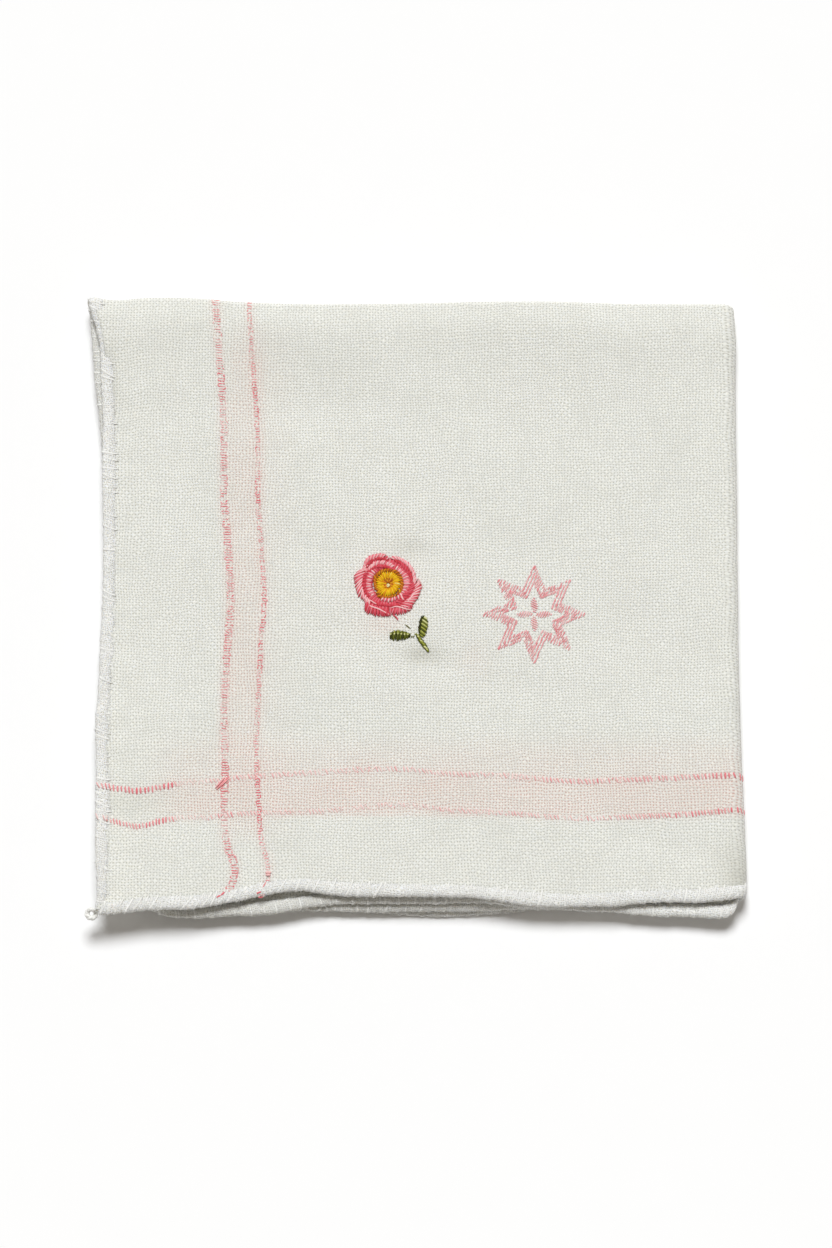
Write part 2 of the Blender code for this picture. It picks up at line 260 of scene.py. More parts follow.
@dataclass
class FoldMap:
    """Carries a point of the flat square to its place in the folded stack."""

    sheet: float = 1.0
    gap: float = 0.45
    right_crown: float = 65.3
    top_crown: float = 64.1
    reach: float = 128.0
    flat_from: float = 7.0
    hem_loft: float = 0.12
    fold_loft: float = 0.10
    hem_line: float = -63.0
    fold_line: float = 61.5
    hem_loft_width: float = 2.4
    fold_loft_width: float = 5.0
    front_reach: float = 22.0
    side_reach: float = 20.0
    wave_height: float = 0.22
    wave_length_x: float = 47.0
    wave_length_y: float = 71.0
    lift_shares: Four = (1.0, 0.12, 0.05, 0.0)
    tuck: float = 1.5
    tuck_front: float = -56.0
    tuck_front_run: float = 8.0
    tuck_side: float = 50.0
    tuck_side_run: float = 15.0

    def __post_init__(self) -> None:
        """Work out the heights, the folds' radii and the sums that turn plan places into flat ones."""
        self.pair = 2 * self.sheet + self.gap
        self.stack = 2 * self.pair + self.gap
        self.pair_radius = (self.sheet + self.gap) / 2
        self.stack_radius = (self.pair + self.gap) / 2
        self.sum_x = self.right_crown - self.stack / 2 + math.pi / 2 * self.stack_radius
        self.sum_y = self.top_crown - self.pair / 2 + math.pi / 2 * self.pair_radius

    @staticmethod
    def bent(path: Array, offset: Array, radius: float) -> tuple[Array, Array]:
        """Bend a run of cloth half round an axis.

        It is an arc for a quarter turn each way, and a straight run past each end of that.

        Args:
            path: Distance along the cloth from the fold's middle.
            offset: Distance outward from the middle of the sheet.
            radius: The radius of the sheet's middle in the fold.

        Returns:
            How far each point lies past the axis, and how far over it.
        """
        quarter = math.pi / 2 * radius
        angle = np.clip(path, -quarter, quarter) / radius
        run = np.maximum(np.abs(path) - quarter, 0.0)
        return (radius + offset) * np.cos(angle) - run, (radius + offset) * np.sin(angle)

    def by_layer(self, u: Array, v: Array, values: tuple[Array | float, ...]) -> Array:
        """Take each layer's own value, blended round the folds.

        Args:
            u: Distances from the right fold.
            v: Distances from the top fold.
            values: The layers' values, from the top one down.

        Returns:
            The value at each flat place.
        """
        top, second, third, bottom = values
        above = ease(0.5 + u / (math.pi * self.stack_radius))
        face = ease(0.5 + v / (math.pi * self.pair_radius))
        upper = face * top + (1 - face) * second
        lower = face * bottom + (1 - face) * third
        return above * upper + (1 - above) * lower

    def on_top(self, u: Array, v: Array) -> Array:
        """1 on the top layer and 0 on the others, blended round the folds."""
        return self.by_layer(u, v, (1.0, 0.0, 0.0, 0.0))

    def hem_lines(self, u: Array, v: Array) -> tuple[Array, Array]:
        """Find how far along the cloth each point's own two hems lie from the folds.

        Args:
            u: Distances from the right fold.
            v: Distances from the top fold.

        Returns:
            The left hem's distance from the right fold, and the front hem's from the top fold.
        """
        x, y = self.sum_x - np.abs(u), self.sum_y - np.abs(v)
        names = LEFT_HEMS.names.split()
        left = self.by_layer(u, v, tuple(LEFT_HEMS.read(name, y) for name in names))
        front = self.by_layer(u, v, tuple(FRONT_HEMS.read(name, x) for name in names))
        return self.sum_x - left, self.sum_y - front

    def own(self, u: Array, v: Array) -> tuple[Array, Array]:
        """Stretch the even square so that each layer ends at its own hem, and leave the folds as they are.

        Each distance gets its hem's difference from the even reach, times an ease up to that reach.

        Args:
            u: Distance from the right fold on the even square.
            v: Distance from the top fold on the even square.

        Returns:
            Both distances on the stretched cloth.
        """
        end_u, end_v = self.hem_lines(u, v)
        moved = []
        for path, end in ((u, end_u), (v, end_v)):
            share = ease((np.abs(path) - self.flat_from) / (self.reach - self.flat_from))
            moved.append(np.sign(path) * (np.abs(path) + (end - self.reach) * share))
        return moved[0], moved[1]

    def loft(self, x: Array, y: Array) -> Array:
        """Work out how much thicker than flat cloth the stack is: looser at its hems and its folds.

        Args:
            x: Plan places across.
            y: Plan places along.

        Returns:
            The added thickness, as a share of the flat stack's.
        """
        hem = np.maximum(
            self.hem_loft * near(x, self.hem_line, self.hem_loft_width),
            FRONT_LIFT.read("loft", x) * near(y, self.hem_line, self.hem_loft_width),
        )
        fold = np.maximum(
            near(x, self.fold_line, self.fold_loft_width),
            near(y, self.fold_line, self.fold_loft_width),
        )
        return hem + self.fold_loft * fold

    def lift(self, x: Array, y: Array) -> Array:
        """Work out how far the top layer stands off: along two hems, and in slow waves over the rest.

        Args:
            x: Plan places across.
            y: Plan places along.

        Returns:
            The height that the top layer gains.
        """
        front = FRONT_LIFT.read("lift", x) * near(y, self.hem_line, self.front_reach)
        side = LEFT_LIFT.read("lift", y) * near(x, self.hem_line, self.side_reach)
        turn = math.tau * (x / self.wave_length_x + y / self.wave_length_y)
        wave = np.sin(turn) * np.cos(math.tau * y / self.wave_length_y)
        return front + side + self.wave_height * (1 + wave)

    def folded(self, u: Array, v: Array, w: Array) -> Array:
        """Find where a point of the flat cloth lies once it is folded.

        The cloth is bent round the top fold, and the pair of layers then round the right one. The stack is
        thickened by the loft, each layer takes its share of the lift, and the crowns move to their lines.
        The lower layers are tucked in at the front end of the right fold.

        Args:
            u: Distances from the right fold.
            v: Distances from the top fold.
            w: Distance outward from the middle of the sheet.

        Returns:
            The points in the table's frame.
        """
        back, height = self.bent(v, w, self.pair_radius)
        right, height = self.bent(u, height, self.stack_radius)
        x = self.right_crown - self.stack / 2 + right
        y = self.top_crown - self.pair / 2 + back
        share = self.by_layer(u, v, self.lift_shares)
        z = (height + self.stack / 2) * (1 + self.loft(x, y)) + share * self.lift(x, y)
        under = 1 - np.clip(z / self.stack, 0.0, 1.0)
        front = ease((self.tuck_front - y) / self.tuck_front_run)
        side = ease((x - self.tuck_side) / self.tuck_side_run)
        tucked = self.tuck * under * front * side
        right_shift = (RIGHT_FOLD.read("x", y) - self.right_crown) * ease(x / self.right_crown) - tucked
        back_shift = (TOP_FOLD.read("y", x) - self.top_crown) * ease(y / self.top_crown)
        return np.stack([x + right_shift, y + back_shift, z], axis=-1)

    def to_plan(self, u: Array, v: Array) -> tuple[Array, Array]:
        """The plan position of a flat place on the top layer."""
        return self.sum_x - u, self.sum_y - v

    def flat(self, places: Array) -> Array:
        """The flat places of plan positions on the top layer, both as rows of two numbers."""
        return np.array([self.sum_x, self.sum_y]) - places


@dataclass(frozen=True)
class Crease:
    """A soft trough in the top layer between two plan points, or a ridge where its depth is below zero."""

    start: Pair
    end: Pair
    width: float
    depth: float

    def dip(self, x: Array, y: Array) -> Array:
        """Work out how deep it is: a bell curve across the line, fading over its last quarter.

        Args:
            x: Plan places across.
            y: Plan places along.

        Returns:
            The depth at each place.
        """
        run = np.subtract(self.end, self.start)
        length = math.hypot(*run)
        ahead, aside = run / length, np.array([-run[1], run[0]]) / length
        along = (x - self.start[0]) * ahead[0] + (y - self.start[1]) * ahead[1]
        across = (x - self.start[0]) * aside[0] + (y - self.start[1]) * aside[1]
        fade = ease(0.5 + along / (0.5 * length)) * ease(0.5 + (length - along) / (0.5 * length))
        return self.depth * fade * near(across, 0.0, self.width)


@dataclass
class LinenSurface:
    """The outer face of the thin linen, with its small puckers and creases. Thread is laid on it."""

    fold: FoldMap
    skin: float = 0.47
    pucker_depth: float = 0.26
    pucker_length: float = 6.8
    pucker_sways: tuple[Pair, ...] = ((1.9, 5.3), (1.7, 6.1))
    pucker_reach: float = 4.5
    ripple_depth: float = 0.09
    creases: tuple[Crease, ...] = (
        Crease((-84.0, 56.5), (90.0, 55.5), 5.5, -0.50),
        Crease((-84.0, 63.6), (90.0, 63.0), 3.5, 0.40),
        Crease((-60.0, 39.0), (-14.0, 40.5), 4.5, 0.30),
        Crease((-22.0, 43.0), (30.0, 38.0), 5.0, 0.20),
        Crease((-16.0, -4.0), (-9.0, -12.0), 4.5, 0.24),
        Crease((-2.0, 11.5), (6.0, 8.0), 2.6, 0.34),
        Crease((-1.0, -13.6), (9.0, -14.4), 2.4, 0.30),
        Crease((44.0, -4.0), (56.0, -14.0), 6.0, 0.22),
        Crease((14.0, -18.0), (40.0, -19.0), 3.5, 0.14),
        Crease((61.5, 55.0), (61.3, -30.0), 1.4, 0.18),
        Crease((-48.0, -28.0), (-20.0, -27.0), 3.0, 0.12),
        Crease((-56.0, 40.0), (-52.0, -30.0), 5.0, 0.10),
        Crease((34.0, -46.0), (62.0, -55.0), 3.5, 0.16),
        Crease((-62.0, -40.0), (-44.0, -42.5), 2.6, 0.18),
    )

    def relief(self, u: Array, v: Array) -> Array:
        """Work out how far the face lies under its highest level.

        Puckers are waves along a hem that die away from it. Ripples are two crossed slow waves. Creases lie
        on the top layer alone.

        Args:
            u: Distances from the right fold.
            v: Distances from the top fold.

        Returns:
            The depth at each flat place.
        """
        turns = math.tau / self.pucker_length
        puckers = 0.0
        hems = zip(self.fold.hem_lines(u, v), (u, v), (v, u), self.pucker_sways)
        for end, path, other, (sway, period) in hems:
            wave = 1 + np.sin(turns * other + sway * np.sin(other / period))
            puckers = puckers + np.exp(-np.abs(end - np.abs(path)) / self.pucker_reach) * wave
        ripple = 2 + meander(u, 3.1, 1.3, v, 9.0) + meander(v, 3.7, 1.6, u, 11.0)
        x, y = self.fold.to_plan(u, v)
        dips = sum(crease.dip(x, y) for crease in self.creases)
        top = self.fold.on_top(u, v)
        return self.pucker_depth / 2 * puckers + self.ripple_depth / 4 * ripple + top * dips

    def point(self, u: Array, v: Array, above: Array | float) -> Array:
        """A point a given height over the linen's outer face."""
        return self.fold.folded(u, v, self.skin - self.relief(u, v) + above)


@dataclass
class MeshPlan:
    """The points, faces and per-corner numbers of one piece, in millimetres."""

    points: Array
    quads: Array
    quad_uv: Array
    ends: Array | None = None
    masks: dict[str, Array] = field(default_factory=dict)

    @staticmethod
    def joined(plans: list[MeshPlan]) -> MeshPlan:
        """Put several plans into one, each with its own points.

        Args:
            plans: The plans, which all have the same masks.

        Returns:
            One plan that holds them all.
        """
        start = np.cumsum([0] + [len(plan.points) for plan in plans])
        ends = [plan.ends + first for plan, first in zip(plans, start) if plan.ends is not None]
        return MeshPlan(
            np.concatenate([plan.points for plan in plans]),
            np.concatenate([plan.quads + first for plan, first in zip(plans, start)]),
            np.concatenate([plan.quad_uv for plan in plans]),
            np.concatenate(ends) if ends else None,
            {name: np.concatenate([plan.masks[name] for plan in plans]) for name in plans[0].masks},
        )

    def build(self, name: str, origin: Array, finish: Material) -> bpy.types.Object:
        """Make the mesh and its object, with whatever would dip under the table pressed flat on it.

        Args:
            name: The piece's name.
            origin: The table place that is the frame's origin.
            finish: The piece's material.

        Returns:
            The new object, at the origin and unturned.
        """
        mesh = bpy.data.meshes.new(name)
        faces = self.quads.tolist() + ([] if self.ends is None else self.ends.tolist())
        resting = np.maximum(self.points - origin, (-np.inf, -np.inf, TABLE_CLEARANCE))
        mesh.from_pydata((resting * MM).tolist(), [], faces)
        uv = self.quad_uv.reshape(-1, 2)
        if self.ends is not None:
            uv = np.concatenate([uv, np.zeros((self.ends.size, 2))])
        mesh.uv_layers.new(name="along").data.foreach_set("uv", uv.astype(np.float32).ravel())
        for mask, values in self.masks.items():
            mesh.attributes.new(mask, "FLOAT", "POINT").data.foreach_set("value", values.astype(np.float32))
        mesh.shade_smooth()
        mesh.materials.append(finish)
        made = bpy.data.objects.new(name, mesh)
        bpy.context.scene.collection.objects.link(made)
        LOG.info("%s: %d faces", name, len(faces))
        return made


@dataclass
class Threads:
    """Many runs of thread at once: their paths, radii and tones, and the way that is up for each."""

    paths: Array
    radii: Array
    up: Array
    tone: Array
    sides: int = 6
    flatness: float = 0.8

    def plan(self) -> MeshPlan:
        """Sweep an oval along every path and close both ends.

        A ring's point is the path's point, plus the radius times the cosine of its angle sideways and the
        sine of it upward, the second one made smaller by the flatness.

        Returns:
            The swept threads as one plan, with a run along and a turn round each as its map.
        """
        count, rings = self.paths.shape[:2]
        ahead = unit(np.gradient(self.paths, axis=1))
        aside = unit(np.cross(ahead, self.up))
        upward = np.cross(aside, ahead)
        turn = np.linspace(0, math.tau, self.sides, endpoint=False)
        cosine, sine = np.cos(turn)[:, None], np.sin(turn)[:, None] * self.flatness
        ring = aside[:, :, None] * cosine + upward[:, :, None] * sine
        points = self.paths[:, :, None] + self.radii[:, :, None, None] * ring
        number = np.arange(count * rings * self.sides).reshape(count, rings, self.sides)
        beside = np.roll(number, -1, axis=2)
        quads = np.stack([number[:, :-1], number[:, 1:], beside[:, 1:], beside[:, :-1]], -1).reshape(-1, 4)
        steps = np.linalg.norm(np.diff(self.paths, axis=1), axis=-1)
        length = np.concatenate([np.zeros((count, 1)), np.cumsum(steps, axis=1)], axis=1)
        low, high = length[:, :-1, None], length[:, 1:, None]
        left = np.arange(self.sides)[None, None] / self.sides
        corners = [(low, left), (high, left), (high, left + 1 / self.sides), (low, left + 1 / self.sides)]
        uv = np.stack([np.stack(np.broadcast_arrays(a, b), -1) for a, b in corners], axis=-2)
        ends = np.concatenate([number[:, 0], number[:, -1, ::-1]])
        tones = np.repeat(self.tone, rings * self.sides)
        return MeshPlan(points.reshape(-1, 3), quads, uv.reshape(-1, 4, 2), ends, {"tone": tones})


def stitches(
    surface: LinenSurface,
    start: Array,
    end: Array,
    width: Array,
    rise: Array | float,
    tone: Array,
    base: Array | float = 0.0,
    steps: int = 6,
    sides: int = 6,
) -> MeshPlan:
    """Lay straight stitches on the linen, each from one flat place to another.

    A stitch stands over the face by its base plus its rise times the square root of a half sine wave, and it
    narrows at both ends, where it goes through the linen.

    Args:
        surface: The linen they lie on.
        start: Each stitch's first flat place, u and v.
        end: Each stitch's last flat place.
        width: Each thread's width.
        rise: How far its middle stands over its ends.
        tone: Each thread's place in its finish's range of colours.
        base: How far the ends stand over the linen.
        steps: Rings along a stitch.
        sides: Sides of a ring.

    Returns:
        The stitches as one mesh plan.
    """
    share = (1 - np.cos(np.linspace(0, math.pi, steps))) / 2
    bow = np.sqrt(np.sin(math.pi * np.clip(share, 0.004, 0.996)))
    place = start[:, None] + (end - start)[:, None] * share[None, :, None]
    width = np.broadcast_to(width, len(start))
    above = np.broadcast_to(base, len(start))[:, None] + np.broadcast_to(rise, len(start))[:, None] * bow
    paths = surface.point(place[..., 0], place[..., 1], above)
    up = unit(surface.point(place[..., 0], place[..., 1], above + 0.3) - paths)
    radii = width[:, None] / 2 * (0.35 + 0.65 * bow)
    return Threads(paths, radii, up, np.broadcast_to(tone, len(start)), sides).plan()


@dataclass(frozen=True)
class HazeBand:
    """A strip of the top layer where a pair of lines of the layers below shows through."""

    reach: Four
    run: Four
    inner_line: float
    faint: float
    strength: float
    inner_run: float = 2.0

    def shown(self, across: Array, along: Array) -> Array:
        """How strongly it shows: a strip both ways, with a fainter share past the pair's inner line."""
        past = self.faint + (1 - self.faint) * ease((self.inner_line - across) / self.inner_run)
        return self.strength * between(across, *self.reach) * past * between(along, *self.run)


@dataclass
class ClothSheet:
    """The thin folded linen, as two skins joined along their rim."""

    surface: LinenSurface
    thickness: float = 0.34
    inset: float = 1.0
    fold_steps: int = 6
    near_steps: int = 104
    far_steps: int = 58
    hem_steps: int = 12
    hem_band: float = 14.0
    columns: HazeBand = HazeBand((-38.5, 3.0, -20.0, 10.0), (-52.0, 6.0, 62.0, 12.0), -29.0, 0.35, 0.62)
    rows: HazeBand = HazeBand((-45.5, 1.5, -26.0, 8.0), (-56.0, 16.0, 90.0, 1.0), -36.0, 0.55, 0.95)
    patches: Spots = (
        (12.5, -12.5, 3, 3.5, 0.35),
        (-6.5, -5.4, 4.2, 2.2, 0.7),
        (-5.5, 3.5, 8.5, 8, 0.22),
    )
    halos: tuple[tuple[str, float, float], ...] = (("outer", 0.75, 0.375), ("inner", 0.6, 0.3))
    column_halo: float = 1.1
    row_halo: float = 0.9
    # Soft spots of painted shade on the top layer: by the rose, between the lines at the left, at the front
    # right corner and by the left hem
    spots: Spots = (
        (1.8, -11.1, 3.6, 2, 0.42),
        (-0.6, 11.2, 3.2, 2.2, 0.20),
        (-56, -42.6, 8, 2.8, 0.22),
        (64.5, -58, 4, 6, 0.50),
        (-62, 46, 2.5, 5, 0.35),
    )

    def stations(self, radius: float) -> Array:
        """Place the grid's lines along the cloth, close in the folds and by the hems.

        They are also closer on the side that shows than on the one that is folded under.

        Args:
            radius: The radius of the sheet's middle in the fold.

        Returns:
            Distances along the cloth from the fold, from the far hem to the near one.
        """
        quarter = math.pi / 2 * radius
        last = self.surface.fold.reach - self.inset
        turn = np.linspace(0, quarter, self.fold_steps + 1)
        sides = []
        for steps, hem_steps in ((self.near_steps, 2 * self.hem_steps), (self.far_steps, self.hem_steps)):
            flat = np.linspace(quarter, last - self.hem_band, steps)[1:]
            hem = np.linspace(last - self.hem_band, last, hem_steps)[1:]
            sides.append(np.concatenate([turn, flat, hem]))
        return np.concatenate([-sides[1][:0:-1], sides[0]])

    def haze(self, u: Array, v: Array) -> Array:
        """Work out how far pink thread tints the top layer: lines below it, patches, and halos by its lines.

        Args:
            u: Distances from the right fold.
            v: Distances from the top fold.

        Returns:
            The tint at each flat place, from 0 to 1.
        """
        fold = self.surface.fold
        x, y = fold.to_plan(u, v)
        tint = self.columns.shown(x, y) + self.rows.shown(y, x) + spotted(self.patches, x, y)
        for name, column_share, row_share in self.halos:
            tint = tint + column_share * near(x, COLUMNS.read(name, y), self.column_halo)
            tint = tint + row_share * near(y, ROWS.read(name, x), self.row_halo)
        uneven = 0.82 + 0.18 * meander(x, 2.9, 1.4, y, 4.1) * np.sin(y / 3.3)
        return fold.on_top(u, v) * uneven * np.clip(tint, 0, 1)

    def shade(self, u: Array, v: Array) -> Array:
        """Work out how far painted shade greys the top layer, in soft spots round the worked thread and the
        hem.

        Args:
            u: Distances from the right fold.
            v: Distances from the top fold.

        Returns:
            The painted shade's share at each flat place, from 0 to 1.
        """
        fold = self.surface.fold
        return np.clip(fold.on_top(u, v) * spotted(self.spots, *fold.to_plan(u, v)), 0, 1)

    def plan(self) -> MeshPlan:
        """Fold a grid of the flat cloth twice, once for each skin, and join the skins along the hem.

        Returns:
            The sheet, with its flat places as its map and its haze and painted shade as masks.
        """
        fold = self.surface.fold
        stations = self.stations(fold.stack_radius), self.stations(fold.pair_radius)
        u, v = fold.own(*np.meshgrid(*stations, indexing="ij"))
        skins = [self.surface.point(u, v, above).reshape(-1, 3) for above in (0.0, -self.thickness)]
        number = np.arange(u.size).reshape(u.shape)
        corners = [number[:-1, :-1], number[1:, :-1], number[1:, 1:], number[:-1, 1:]]
        skin = np.stack(corners, -1).reshape(-1, 4)
        rim = np.concatenate([number[:-1, 0], number[-1, :-1], number[:0:-1, -1], number[0, :0:-1]])
        after = np.roll(rim, -1)
        wall = np.stack([after, rim, rim + number.size, after + number.size], -1)
        quads = np.concatenate([skin, skin[:, ::-1] + number.size, wall])
        flat = np.stack([u.ravel(), v.ravel()], -1)
        uv = np.concatenate([flat, flat])[quads]
        # The shade mask is painted shade, which greys the linen's colour
        masks = {"haze": self.haze(u, v).ravel(), "shade": self.shade(u, v).ravel()}
        masks = {name: np.concatenate([mask, 0 * mask]) for name, mask in masks.items()}
        return MeshPlan(np.concatenate(skins), quads, uv, None, masks)


@dataclass
class RolledHem:
    """The hem: the cloth's edge rolled to a thin cord all round, and whipped over with white thread."""

    surface: LinenSurface
    half_width: float = 1.38
    half_height: float = 0.62
    side_height: float = 0.75
    boxiness: float = 0.62
    corner: float = 0.7
    corner_share: float = 0.66
    corner_reach: float = 3.0
    uneven: float = 0.07
    lumps: float = 0.05
    rings_per_stitch: int = 5
    sides: int = 10
    # Painted shade on the roll of the layers under the top one, fading out to the right
    painted_under_shade: float = 0.3
    painted_shade_end: float = 20.0
    painted_shade_run: float = 40.0
    stitch_pitch: float = 1.68
    pinch: float = 0.035
    thread: float = 0.46
    thread_flatness: float = 0.45
    stitch_rings: int = 12
    stitch_angle: float = 168.0
    stitch_slip: float = 0.30
    slant: Pair = (0.1, 1.15)
    proud: float = -0.115
    bow: float = 0.05
    proud_slip: float = 0.03
    inner_reach: float = 0.45
    inner_shares: Pair = (0.2, 1.2)

    def __post_init__(self) -> None:
        """Work out the length of the walk round the square and the number of stitches on it."""
        self.half = self.surface.fold.reach - self.half_width
        self.straight = 2 * (self.half - self.corner)
        self.side = self.straight + math.pi / 2 * self.corner
        self.count = round(4 * self.side / self.stitch_pitch)
        self.pitch = 4 * self.side / self.count

    def walk(self, along: Array) -> tuple[Array, Array, Array, Array]:
        """Go round the flat square: straight sides joined by quarter circles, each side a quarter turn on.

        Args:
            along: Distance round the square.

        Returns:
            The flat place, u and v, and the outward direction there, in u and in v.
        """
        side, t = np.divmod(np.mod(along, 4 * self.side), self.side)
        turn = np.clip((t - self.straight) / self.corner, 0.0, math.pi / 2)
        out = np.cos(turn), np.sin(turn)
        start = -(self.half - self.corner)
        local_u = self.half - self.corner + self.corner * out[0]
        local_v = start + np.minimum(t, self.straight) + self.corner * out[1]
        cosine, sine = np.cos(side * math.pi / 2), np.sin(side * math.pi / 2)
        return (
            cosine * local_u - sine * local_v,
            sine * local_u + cosine * local_v,
            cosine * out[0] - sine * out[1],
            sine * out[0] + cosine * out[1],
        )

    def on_roll(self, along: Array, angle: Array, proud: Array | float) -> Array:
        """A point round the roll: an oval whose width is in the cloth and whose height is across it.

        Args:
            along: Distance round the square.
            angle: Angle round the roll, 0 outward and a quarter turn up.
            proud: How far the point stands off the roll.

        Returns:
            The points in the table's frame.
        """
        fold = self.surface.fold
        u, v, out_u, out_v = self.walk(along)
        from_corner = np.abs(np.mod(along, self.side) - (self.side + self.straight) / 2)
        slim = 1 - (1 - self.corner_share) * near(from_corner, 0.0, self.corner_reach)
        tight = 1 - self.pinch * np.cos(math.tau * along / self.pitch)
        uneven = 1 + self.uneven * meander(along, 3.7, 2.0, along, 11.3)
        uneven = uneven + self.lumps * np.sin(along / 0.61 + 2.4 * np.sin(along / 2.3) + angle)
        outward = (self.half_width * slim * tight * uneven + proud) * np.cos(angle)
        flatter = 1 - (1 - self.side_height) * np.abs(out_u)
        boxy = np.sign(np.sin(angle)) * np.abs(np.sin(angle)) ** self.boxiness
        upward = (self.half_height * flatter * slim * tight + proud) * boxy
        own_u, own_v = fold.own(u + out_u * outward, v + out_v * outward)
        return fold.folded(own_u, own_v, upward)

    def roll(self) -> MeshPlan:
        """Close the roll all round the square, with painted shade where it lies under the top layer at the
        front left.

        Returns:
            The roll, with the runs along and round it as its map.
        """
        rings = self.count * self.rings_per_stitch
        along = np.linspace(0, 4 * self.side, rings, endpoint=False)[:, None]
        angle = np.linspace(0, math.tau, self.sides, endpoint=False)[None]
        points = self.on_roll(*np.broadcast_arrays(along, angle), 0.0)
        number = np.arange(points[..., 0].size).reshape(points.shape[:2])
        ahead, beside = np.roll(number, -1, 0), np.roll(number, -1, 1)
        quads = np.stack([number, ahead, np.roll(ahead, -1, 1), beside], -1).reshape(-1, 4)
        step, turn = 4 * self.side / rings, self.half_width * math.tau / self.sides
        walked, turned = np.arange(rings) * step, np.arange(self.sides) * turn
        place = np.stack(np.meshgrid(walked, turned, indexing="ij"), -1)
        offsets = np.array([(0.0, 0.0), (step, 0.0), (step, turn), (0.0, turn)])
        uv = (place[:, :, None] + offsets).reshape(-1, 4, 2)
        u, v = self.walk(np.broadcast_to(along, number.shape))[:2]
        fold = self.surface.fold
        leftward = ease((self.painted_shade_end - fold.sum_x + np.abs(u)) / self.painted_shade_run)
        under = fold.by_layer(u, v, (0.0, 1.0, 1.0, 1.0)) * leftward
        # The shade mask paints shade on the lower layers' roll
        masks = {"haze": np.zeros(number.size), "shade": self.painted_under_shade * under.ravel()}
        return MeshPlan(points.reshape(-1, 3), quads, uv, None, masks)

    def whipping(self, rng: Rng) -> MeshPlan:
        """Lay slanted stitches over the roll, each from its inner edge above, round the outside, to below.

        A stitch's place along the roll eases back by its slant as it goes round, and it stands off the roll
        by a half sine wave, more at its upper end.

        Args:
            rng: Draws the unevenness.

        Returns:
            The stitches as one plan.
        """
        single = (self.count, 1)
        share = np.linspace(0, 1, self.stitch_rings)[None]
        first = (np.arange(self.count)[:, None] + 0.5) * self.pitch + rng.normal(0, self.stitch_slip, single)
        slant = self.pitch * rng.uniform(*self.slant, single)
        along = first + slant * (0.5 - ease(share * 1.6))
        angle = math.radians(self.stitch_angle) * (1 - 2 * share) + 0 * along
        proud = self.proud + self.bow * np.sin(math.pi * share) + rng.normal(0, self.proud_slip, single)
        proud = proud + self.inner_reach * rng.uniform(*self.inner_shares, single) * ease(1 - share * 7)
        paths = self.on_roll(along, angle, proud)
        up = unit(self.on_roll(along, angle, proud + 0.4) - paths)
        radii = self.thread * rng.uniform(0.8, 1.2, single) / 2 * swell(share, 0.5)
        tone = rng.uniform(0.2, 1.0, self.count)
        return Threads(paths, radii, up, tone, flatness=self.thread_flatness).plan()


@dataclass
class HemCurl:
    """The two-ply end of the hem's thread, curled at the front left corner, and the next layer's nub."""

    surface: LinenSurface
    corner_u: float = 127.2
    corner_v: float = 127.0
    rings: int = 40
    first_angle: float = 50.0
    turns: float = 1.05
    reach: float = 0.98
    closing: float = 0.2
    opening: Three = (0.05, 0.45, -1.1)
    start_height: float = -0.1
    droop: float = 0.3
    twists: float = 4.0
    ply_offset: float = 0.17
    ply_radius: float = 0.38
    ply_end: float = 0.55
    ply_tones: Pair = (0.7, 0.5)
    nub_rings: int = 9
    nub_start: Three = (1.3, 0.3, -0.2)
    nub_run: Three = (0.5, -1.9, -0.8)
    nub_tip: float = 0.12
    nub_swell: float = 0.72
    nub_bluntness: float = 0.8
    nub_tone: float = 0.3

    def corner(self, v: float) -> Array:
        """Where a front left corner lies: above zero for the top layer's, below for the next one's."""
        fold = self.surface.fold
        return fold.folded(*fold.own(np.array(self.corner_u), np.array(v)), np.array(0.0))

    def plies(self) -> MeshPlan:
        """Wind two plies round one path, a closing circle that opens into the corner and drops.

        Returns:
            Both plies as one plan.
        """
        share = np.linspace(0, 1, self.rings)
        first = math.radians(self.first_angle)
        angle = first + math.tau * self.turns * share
        reach = self.reach * (1 - self.closing * share)
        slip = ease(3 * share)
        sideways = reach * np.cos(angle) - reach[0] * math.cos(first) + self.opening[0] * slip
        forward = reach * np.sin(angle) - reach[0] * math.sin(first) + self.opening[1] * slip
        height = self.start_height + self.opening[2] * slip - self.droop * share
        middle = self.corner(self.corner_v) + np.stack([sideways, forward, height], -1)
        ahead = unit(np.gradient(middle, axis=0))
        up = np.broadcast_to((0.0, 0.0, 1.0), middle.shape)
        aside = unit(np.cross(ahead, up))
        over = np.cross(aside, ahead)
        twist = share * math.tau * self.twists
        wound = [
            np.cos(twist + phase)[:, None] * aside + np.sin(twist + phase)[:, None] * over
            for phase in (0.0, math.pi)
        ]
        paths = np.stack([middle + self.ply_offset * ply for ply in wound])
        bulge = self.ply_end + (1 - self.ply_end) * np.sin(math.pi * (0.12 + 0.83 * share))
        radii = np.full(paths.shape[:2], self.ply_radius) * bulge
        upward, tones = np.broadcast_to(up, paths.shape), np.array(self.ply_tones)
        return Threads(paths, radii, upward, tones, 8, 1.0).plan()

    def nub(self) -> MeshPlan:
        """Sweep the short blunt cone that shows of the layer below.

        Returns:
            The cone's plan.
        """
        down = np.linspace(0, 1, self.nub_rings)[:, None]
        path = (self.corner(-self.corner_v) + self.nub_start + down * self.nub_run)[None]
        radii = self.nub_tip + self.nub_swell * (1 - down.T) ** self.nub_bluntness
        upward, tone = np.broadcast_to((0.0, 0.0, 1.0), path.shape), np.array([self.nub_tone])
        return Threads(path, radii, upward, tone, 8, 0.5).plan()

    def plan(self) -> MeshPlan:
        """The curled end and the nub together."""
        return MeshPlan.joined([self.plies(), self.nub()])


